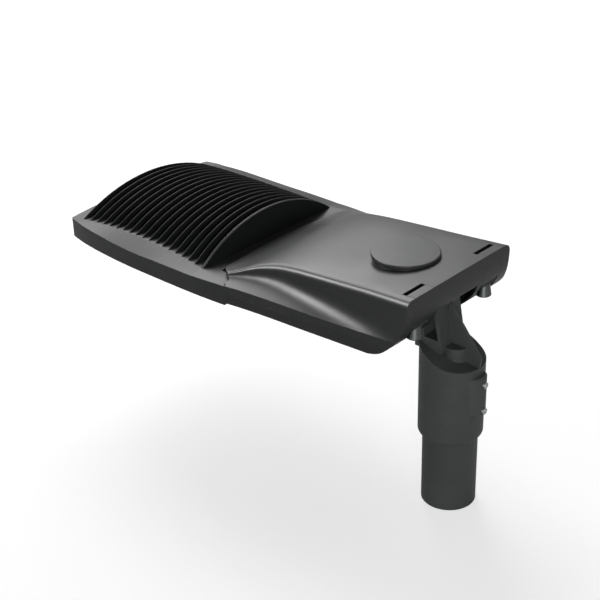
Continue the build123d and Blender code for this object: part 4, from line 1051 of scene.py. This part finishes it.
@dataclass
class GearCover:
    """The gear cover with its seal, pins, straps and thumb screws."""

    shop: Workshop
    merge_distance: float = 0.000004
    sharp_degrees: float = 26.0

    def build(self) -> None:
        """Smooth the cover's skin and dress what belongs to it."""
        self._skin()
        self.shop.dress(COVER_COAT, "near_strap", "far_strap")
        self.shop.dress(KNOB_METAL, "near_thumb_screw", "far_thumb_screw")
        self.shop.dress(RUBBER, "cover_seal")
        self.shop.dress(ZINC, "cover_hinge_pins", "strap_screws")

    def _skin(self) -> None:
        """Copy the cover as one merged shell and shade its skin as one smooth sheet."""
        mesh = self.shop.nodes["gear_cover"].data.copy()
        mesh.name = "cover_shell"
        builder = bmesh.new()
        builder.from_mesh(mesh)
        bmesh.ops.remove_doubles(builder, verts=builder.verts, dist=self.merge_distance)
        bmesh.ops.dissolve_degenerate(builder, edges=builder.edges, dist=self.merge_distance)
        builder.to_mesh(mesh)
        builder.free()
        if mesh.attributes.get("custom_normal") is not None:
            mesh.attributes.remove(mesh.attributes["custom_normal"])
        finish_edges(mesh, self.sharp_degrees)
        piece = new_piece("cover_shell", mesh, self.shop.material(COVER_COAT))
        self.shop.register(piece, Body.COVER, Slot.CASTING, "gear_cover")


@dataclass
class ControlCap:
    """The control socket and its turning cap."""

    shop: Workshop

    def build(self) -> None:
        """Dress the cap and the socket."""
        self.shop.dress(CAP_SKIN, "turning_cap")
        self.shop.dress(DARK_SKIN, "control_socket")
        self.shop.dress(BRASS, "cap_blades", "control_socket_contacts")
        self.shop.dress(RUBBER, "cap_seal", "control_socket_seal")
        self.shop.dress(ZINC, "control_socket_screws")


@dataclass
class Screws:
    """Visible machine screws in the underside, the straps and the gear compartment."""

    shop: Workshop
    points: int = 24

    def countersunk(self) -> bpy.types.Mesh:
        """Return a sunk screw head that looks downwards, with a hexagon recess."""
        loops = [circle(0.0020, 0.0078, self.points), circle(0.0020, 0.0018, self.points),
                 circle(0.0035, 0.0016, self.points), circle(0.0037, 0.0012, self.points),
                 circle(0.0037, 0.0005, self.points), circle(0.0034, 0.0002, self.points),
                 polygon_loop(6, 0.0016, 0.0002, self.points),
                 polygon_loop(6, 0.0014, 0.0012, self.points)]
        return stacked_loops("countersunk_screw", loops)

    def button(self) -> bpy.types.Mesh:
        """Return a small domed screw head that looks downwards."""
        loops = [circle(0.0015, 0.0035, self.points), circle(0.0015, 0.0, self.points),
                 circle(0.0028, 0.0, self.points), circle(0.0028, -0.0008, self.points),
                 circle(0.0022, -0.0017, self.points), polygon_loop(6, 0.0010, -0.0018, self.points),
                 polygon_loop(6, 0.0009, -0.0008, self.points)]
        return stacked_loops("button_screw", loops)

    def pan(self) -> bpy.types.Mesh:
        """Return a pan head that looks upwards, with a square recess."""
        loops = [circle(0.0020, -0.0045, self.points), circle(0.0020, 0.0, self.points),
                 circle(0.0036, 0.0, self.points), circle(0.0036, 0.0012, self.points),
                 circle(0.0030, 0.0020, self.points), circle(0.0022, 0.0022, self.points),
                 polygon_loop(4, 0.0011, 0.0022, self.points),
                 polygon_loop(4, 0.0009, 0.0011, self.points)]
        return stacked_loops("pan_screw", loops)

    def build(self) -> None:
        """Set the screws on their places."""
        maker = RepeatedPart(self.shop)
        low = RIM_Z - 0.0293
        half = [(-0.602, 0.120), (-0.500, 0.145), (-0.403, 0.147), (-0.322, 0.143)]
        frame = [(x, side * y, low) for x, y in half for side in (-1, 1)] + [(-0.606, 0.0, low)]
        piece = maker.make("frame_screw_heads", self.countersunk(), frame, ZINC, 1.0)
        self.shop.register(piece, Body.LAMP, Slot.STEEL, "glass_frame_screws")
        seat = RIM_Z - 0.011
        lens = [(-0.469 + sx * 0.109, side * 0.060 + sy * 0.051, seat)
                for side in (-1, 1) for sx in (-1, 1) for sy in (-1, 1)]
        piece = maker.make("lens_screw_heads", self.button(), lens, ZINC, 1.0)
        self.shop.register(piece, Body.LAMP, Slot.STEEL, "lens_screws")
        top = RIM_Z - 0.0175
        plate = [(x, y, top) for x in (-0.270, -0.106) for y in (-0.090, 0.090)]
        piece = maker.make("plate_screw_heads", self.pan(), plate, ZINC, 1.0)
        self.shop.register(piece, Body.LAMP, Slot.STEEL, "gear_plate_screws")
        tabs = [(-0.266, -0.028), (-0.108, -0.028), (-0.259, 0.051), (-0.196, 0.051),
                (-0.176, 0.053), (-0.120, 0.053)]
        gear = [(x, y, top + 0.002) for x, y in tabs]
        piece = maker.make("gear_screw_heads", self.pan(), gear, ZINC, 1.0)
        self.shop.register(piece, Body.LAMP, Slot.STEEL, "gear_screws")


@dataclass
class LightEngine:
    """Boards, light chips, lens arrays, glass and its frame."""

    shop: Workshop
    rows: int = 4
    columns: int = 8
    pitch_x: float = 0.026
    pitch_y: float = 0.025
    board_x: float = -0.469
    board_y: float = 0.060
    chip_top: float = RIM_Z - 0.0076
    lens_top: float = RIM_Z - 0.0110
    sides: dict[str, int] = field(default_factory=lambda: {"near": -1, "far": 1})

    def places(self, side: int, height: float) -> list[Point]:
        """Return the grid points over one board.

        Args:
            side: -1 for the near board, 1 for the far one.
            height: height of the points.

        Returns:
            The points.
        """
        spots = []
        for column in range(self.columns):
            for row in range(self.rows):
                x = self.board_x + (column - (self.columns - 1) / 2) * self.pitch_x
                y = side * self.board_y + (row - (self.rows - 1) / 2) * self.pitch_y
                spots.append((x, y, height))
        return spots

    def chip(self) -> bpy.types.Mesh:
        """Build one light chip that looks downwards.

        Returns:
            The mesh, with an attribute that marks the phosphor disc.
        """
        count = 16
        loops = [polygon_loop(4, 0.0025, 0.0, count, 0.0), polygon_loop(4, 0.0025, -0.0006, count, 0.0),
                 polygon_loop(4, 0.0024, -0.0007, count, 0.1), circle(0.0021, -0.0007, count),
                 circle(0.0019, -0.00066, count), circle(0.0010, -0.0008, count)]
        mesh = stacked_loops("light_chip", loops)
        mark = mesh.attributes.new(DISC_ATTRIBUTE, "FLOAT", "POINT")
        for index in range(len(mesh.vertices)):
            mark.data[index].value = 1.0 if index >= 4 * count else 0.0
        return mesh

    def dome(self) -> bpy.types.Mesh:
        """Return one two-lobed street lens that looks downwards."""
        count = 20
        loops = []
        for step in range(7):
            share = step / 6
            radius = 0.0086 * math.cos(share * math.pi / 2.25)
            height = -0.0030 - 0.0055 * math.sin(share * math.pi / 2.25)
            loops.append([(x * 0.96, y * (1.0 - 0.10 * math.cos(2 * math.atan2(y, x)) ** 2), z)
                          for x, y, z in circle(radius, height, count)])
        dimple = [(x, y, -0.0073) for x, y, _ in circle(0.0012, 0.0, count)]
        base = [(x, y, -0.0012) for x, y, _ in loops[0]]
        return stacked_loops("street_lens", [base] + loops + [dimple])

    def plate(self, side: int) -> bpy.types.Mesh:
        """Build the plate and rim that carry one lens array.

        Args:
            side: -1 for the near board, 1 for the far one.

        Returns:
            The mesh in its place.
        """
        def outline(inset: float, height: float) -> Loop:
            """Return a rounded rectangle round the board's middle."""
            points = []
            corner = max(0.004 - inset, 0.0015)
            half_x, half_y = 0.114 - inset - corner, 0.056 - inset - corner
            for index in range(32):
                angle = 2 * math.pi * (index + 0.5) / 32
                sx, sy = math.copysign(1, math.cos(angle)), math.copysign(1, math.sin(angle))
                points.append((self.board_x + sx * half_x + corner * math.cos(angle),
                               side * self.board_y + sy * half_y + corner * math.sin(angle), height))
            return points
        bottom = self.lens_top - 0.002
        return stacked_loops("lens_plate", [
            outline(0.010, self.lens_top), outline(0.010, self.chip_top), outline(0.0, self.chip_top),
            outline(0.0, bottom + 0.0004), outline(0.0004, bottom)])

    def build(self) -> None:
        """Build chips and lenses and dress the rest."""
        maker = RepeatedPart(self.shop)
        for word, side in self.sides.items():
            chips = maker.make(word + "_light_chips", self.chip(), self.places(side, self.chip_top), CHIP)
            self.shop.register(chips, Body.LAMP, Slot.PHOSPHOR, word + "_led_packages")
            domes = maker.make(word + "_lenses", self.dome(), self.places(side, self.lens_top), ACRYLIC)
            carrier = self.plate(side)
            joined = bmesh.new()
            joined.from_mesh(domes.data)
            joined.from_mesh(carrier)
            joined.to_mesh(domes.data)
            joined.free()
            finish_edges(domes.data, 35.0)
            self.shop.register(domes, Body.LAMP, Slot.LENS, word + "_lens_array")
        self.shop.dress(BOARD, "near_led_board", "far_led_board")
        self.shop.dress(PANE, "glass_pane")
        self.shop.dress(RUBBER, "glass_seal")
        self.shop.dress(CASTING, "glass_frame")


@dataclass
class GearTray:
    """The electrical gear on its plate."""

    shop: Workshop

    def build(self) -> None:
        """Dress the gear."""
        self.shop.dress(SHEET, "gear_plate")
        self.shop.dress(CASE, "led_driver")
        self.shop.dress(WHITE_SKIN, "surge_protector", "terminal_block")
        self.shop.dress(BRASS, "earth_screw")
        self.shop.dress(POLYAMIDE, "cable_gland", "cable_gland_nut")


@dataclass
class PoleMount:
    """The bracket on the top of the pole."""

    shop: Workshop

    def build(self) -> None:
        """Dress the bracket, the pole and their fasteners."""
        self.shop.dress(BRACKET_COAT, "pole_bracket")
        self.shop.dress(POLE_COAT, "pole_stub")
        self.shop.dress(ZINC, "pole_set_screws", "flange_bolts", "flange_washers")


@dataclass(frozen=True)
class SoftBox:
    """A square soft light.

    One that is sheen_only shows as a reflection and gives no diffuse light.
    """

    name: str
    place: Point
    target: Point
    size: float
    power: float
    sheen_only: bool = False


HEAD_MIDDLE: Point = (-0.28, 0.0, 0.28)
SLEEVE_MIDDLE: Point = (0.0, 0.0, 0.15)
SOFT_BOXES = (
    SoftBox("key_softbox", (-2.14, 1.2, 2.29), HEAD_MIDDLE, 2.0, 78.0),
    SoftBox("flank_softbox", (-2.1, -1.45, 2.2), HEAD_MIDDLE, 1.3, 125.0, sheen_only=True),
    SoftBox("rear_softbox", (2.0, -2.5, 0.8), SLEEVE_MIDDLE, 0.8, 44.0),
)


@dataclass
class Studio:
    """Floor, soft light and the camera at the photograph's angle."""

    focal_pixels: float = 1366.40
    azimuth: float = 43.0974
    elevation: float = 28.3161
    roll: float = -1.60885
    camera_place: Point = (0.9203, -1.2772, 1.1579)
    floor_size: float = 14.0
    world_level: float = 0.22
    floor_glow: float = 0.62
    floor_gloss: float = 0.08
    horizon_gloss: float = 0.55
    ceiling_gloss: float = 0.45

    def build(self) -> None:
        """Make the whole studio."""
        self._world()
        self._floor()
        for box in SOFT_BOXES:
            self._lamp(box)
        self._camera()
        view = bpy.context.scene.view_settings
        view.view_transform = "Standard"

    def _world(self) -> None:
        """White where it is seen, a plain grey level as light."""
        world = bpy.data.worlds.new("studio_world")
        bpy.context.scene.world = world
        world.use_nodes = True
        sheet = NodeSheet(world.node_tree)
        background = world.node_tree.nodes["Background"]
        background.inputs["Color"].default_value = (1.0, 1.0, 1.0, 1.0)
        path = sheet.add("ShaderNodeLightPath").outputs
        split = sheet.add("ShaderNodeSeparateXYZ")
        sheet.put(split.inputs[0], sheet.add("ShaderNodeTexCoord").outputs["Generated"])
        ceiling = sheet.remap(split.outputs["Z"], 0.1, 0.6, self.horizon_gloss, self.ceiling_gloss)
        gloss = sheet.math("MULTIPLY", path["Is Glossy Ray"], ceiling)
        straight = sheet.math("MAXIMUM", path["Is Camera Ray"], path["Is Transmission Ray"])
        seen = sheet.math("MAXIMUM", straight, gloss)
        strength = sheet.math("MAXIMUM", seen, self.world_level)
        sheet.put(background.inputs["Strength"], strength)

    def _floor(self) -> None:
        """A pale floor that shows white and keeps the lamp's shadow."""
        size = self.floor_size
        corners = [(-size, -size, 0.0), (size, -size, 0.0), (size, size, 0.0), (-size, size, 0.0)]
        mesh = bpy.data.meshes.new("studio_floor")
        mesh.from_pydata(corners, [], [(0, 1, 2, 3)])
        material, sheet, shader = new_material("floor_paper")
        grain = sheet.noise(sheet.add("ShaderNodeTexCoord").outputs["Object"], 120.0, 3.0)
        tone = sheet.mix_colour(grain, opaque((0.5, 0.5, 0.498)), opaque((0.53, 0.53, 0.53)))
        sheet.put(shader.inputs["Base Color"], tone)
        shader.inputs["Roughness"].default_value = 0.95
        shader.inputs["Specular IOR Level"].default_value = 0.0
        shader.inputs["Emission Color"].default_value = (1.0, 1.0, 1.0, 1.0)
        path = sheet.add("ShaderNodeLightPath").outputs
        other = sheet.math("MAXIMUM", path["Is Glossy Ray"], path["Is Transmission Ray"])
        glow = sheet.math("MULTIPLY", path["Is Camera Ray"], self.floor_glow)
        glow = sheet.math("MULTIPLY_ADD", other, self.floor_gloss, glow)
        sheet.put(shader.inputs["Emission Strength"], glow)
        floor = new_piece("studio_floor", mesh, material)

    def _lamp(self, box: SoftBox) -> None:
        """Add one soft light to the scene.

        Args:
            box: its place, size and power.
        """
        place = Vector(box.place)
        light = bpy.data.lights.new(box.name, "AREA")
        light.energy = box.power
        light.size = box.size
        lamp = bpy.data.objects.new(box.name, light)
        lamp.location = place
        lamp.visible_diffuse = not box.sheen_only
        lamp.rotation_euler = (Vector(box.target) - place).to_track_quat("-Z", "Y").to_euler()
        bpy.context.scene.collection.objects.link(lamp)

    def _camera(self) -> None:
        """Set the camera where the photograph was taken from."""
        az, el, roll = (math.radians(a) for a in (self.azimuth, self.elevation, self.roll))
        right = Vector((math.cos(az), math.sin(az), 0.0))
        back = Vector((math.sin(az) * math.cos(el), -math.cos(az) * math.cos(el), math.sin(el)))
        up = back.cross(right)
        turned_right = math.cos(roll) * right + math.sin(roll) * up
        turned_up = -math.sin(roll) * right + math.cos(roll) * up
        matrix = Matrix((turned_right, turned_up, back)).transposed().to_4x4()
        matrix.translation = Vector(self.camera_place)
        data = bpy.data.cameras.new("photo_camera")
        data.sensor_width = 36.0
        data.lens = self.focal_pixels * 36.0 / 600.0
        camera = bpy.data.objects.new("photo_camera", data)
        camera.matrix_world = matrix
        bpy.context.scene.collection.objects.link(camera)
        bpy.context.scene.camera = camera


def main() -> None:
    logging.basicConfig(level=logging.INFO, format="%(message)s")
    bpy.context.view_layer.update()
    shop = Workshop(frame)
    PoleMount(shop).build()
    Housing(shop).build()
    GearCover(shop).build()
    ControlCap(shop).build()
    LightEngine(shop).build()
    GearTray(shop).build()
    Screws(shop).build()
    Studio().build()


if __name__ == "__main__":
    main()
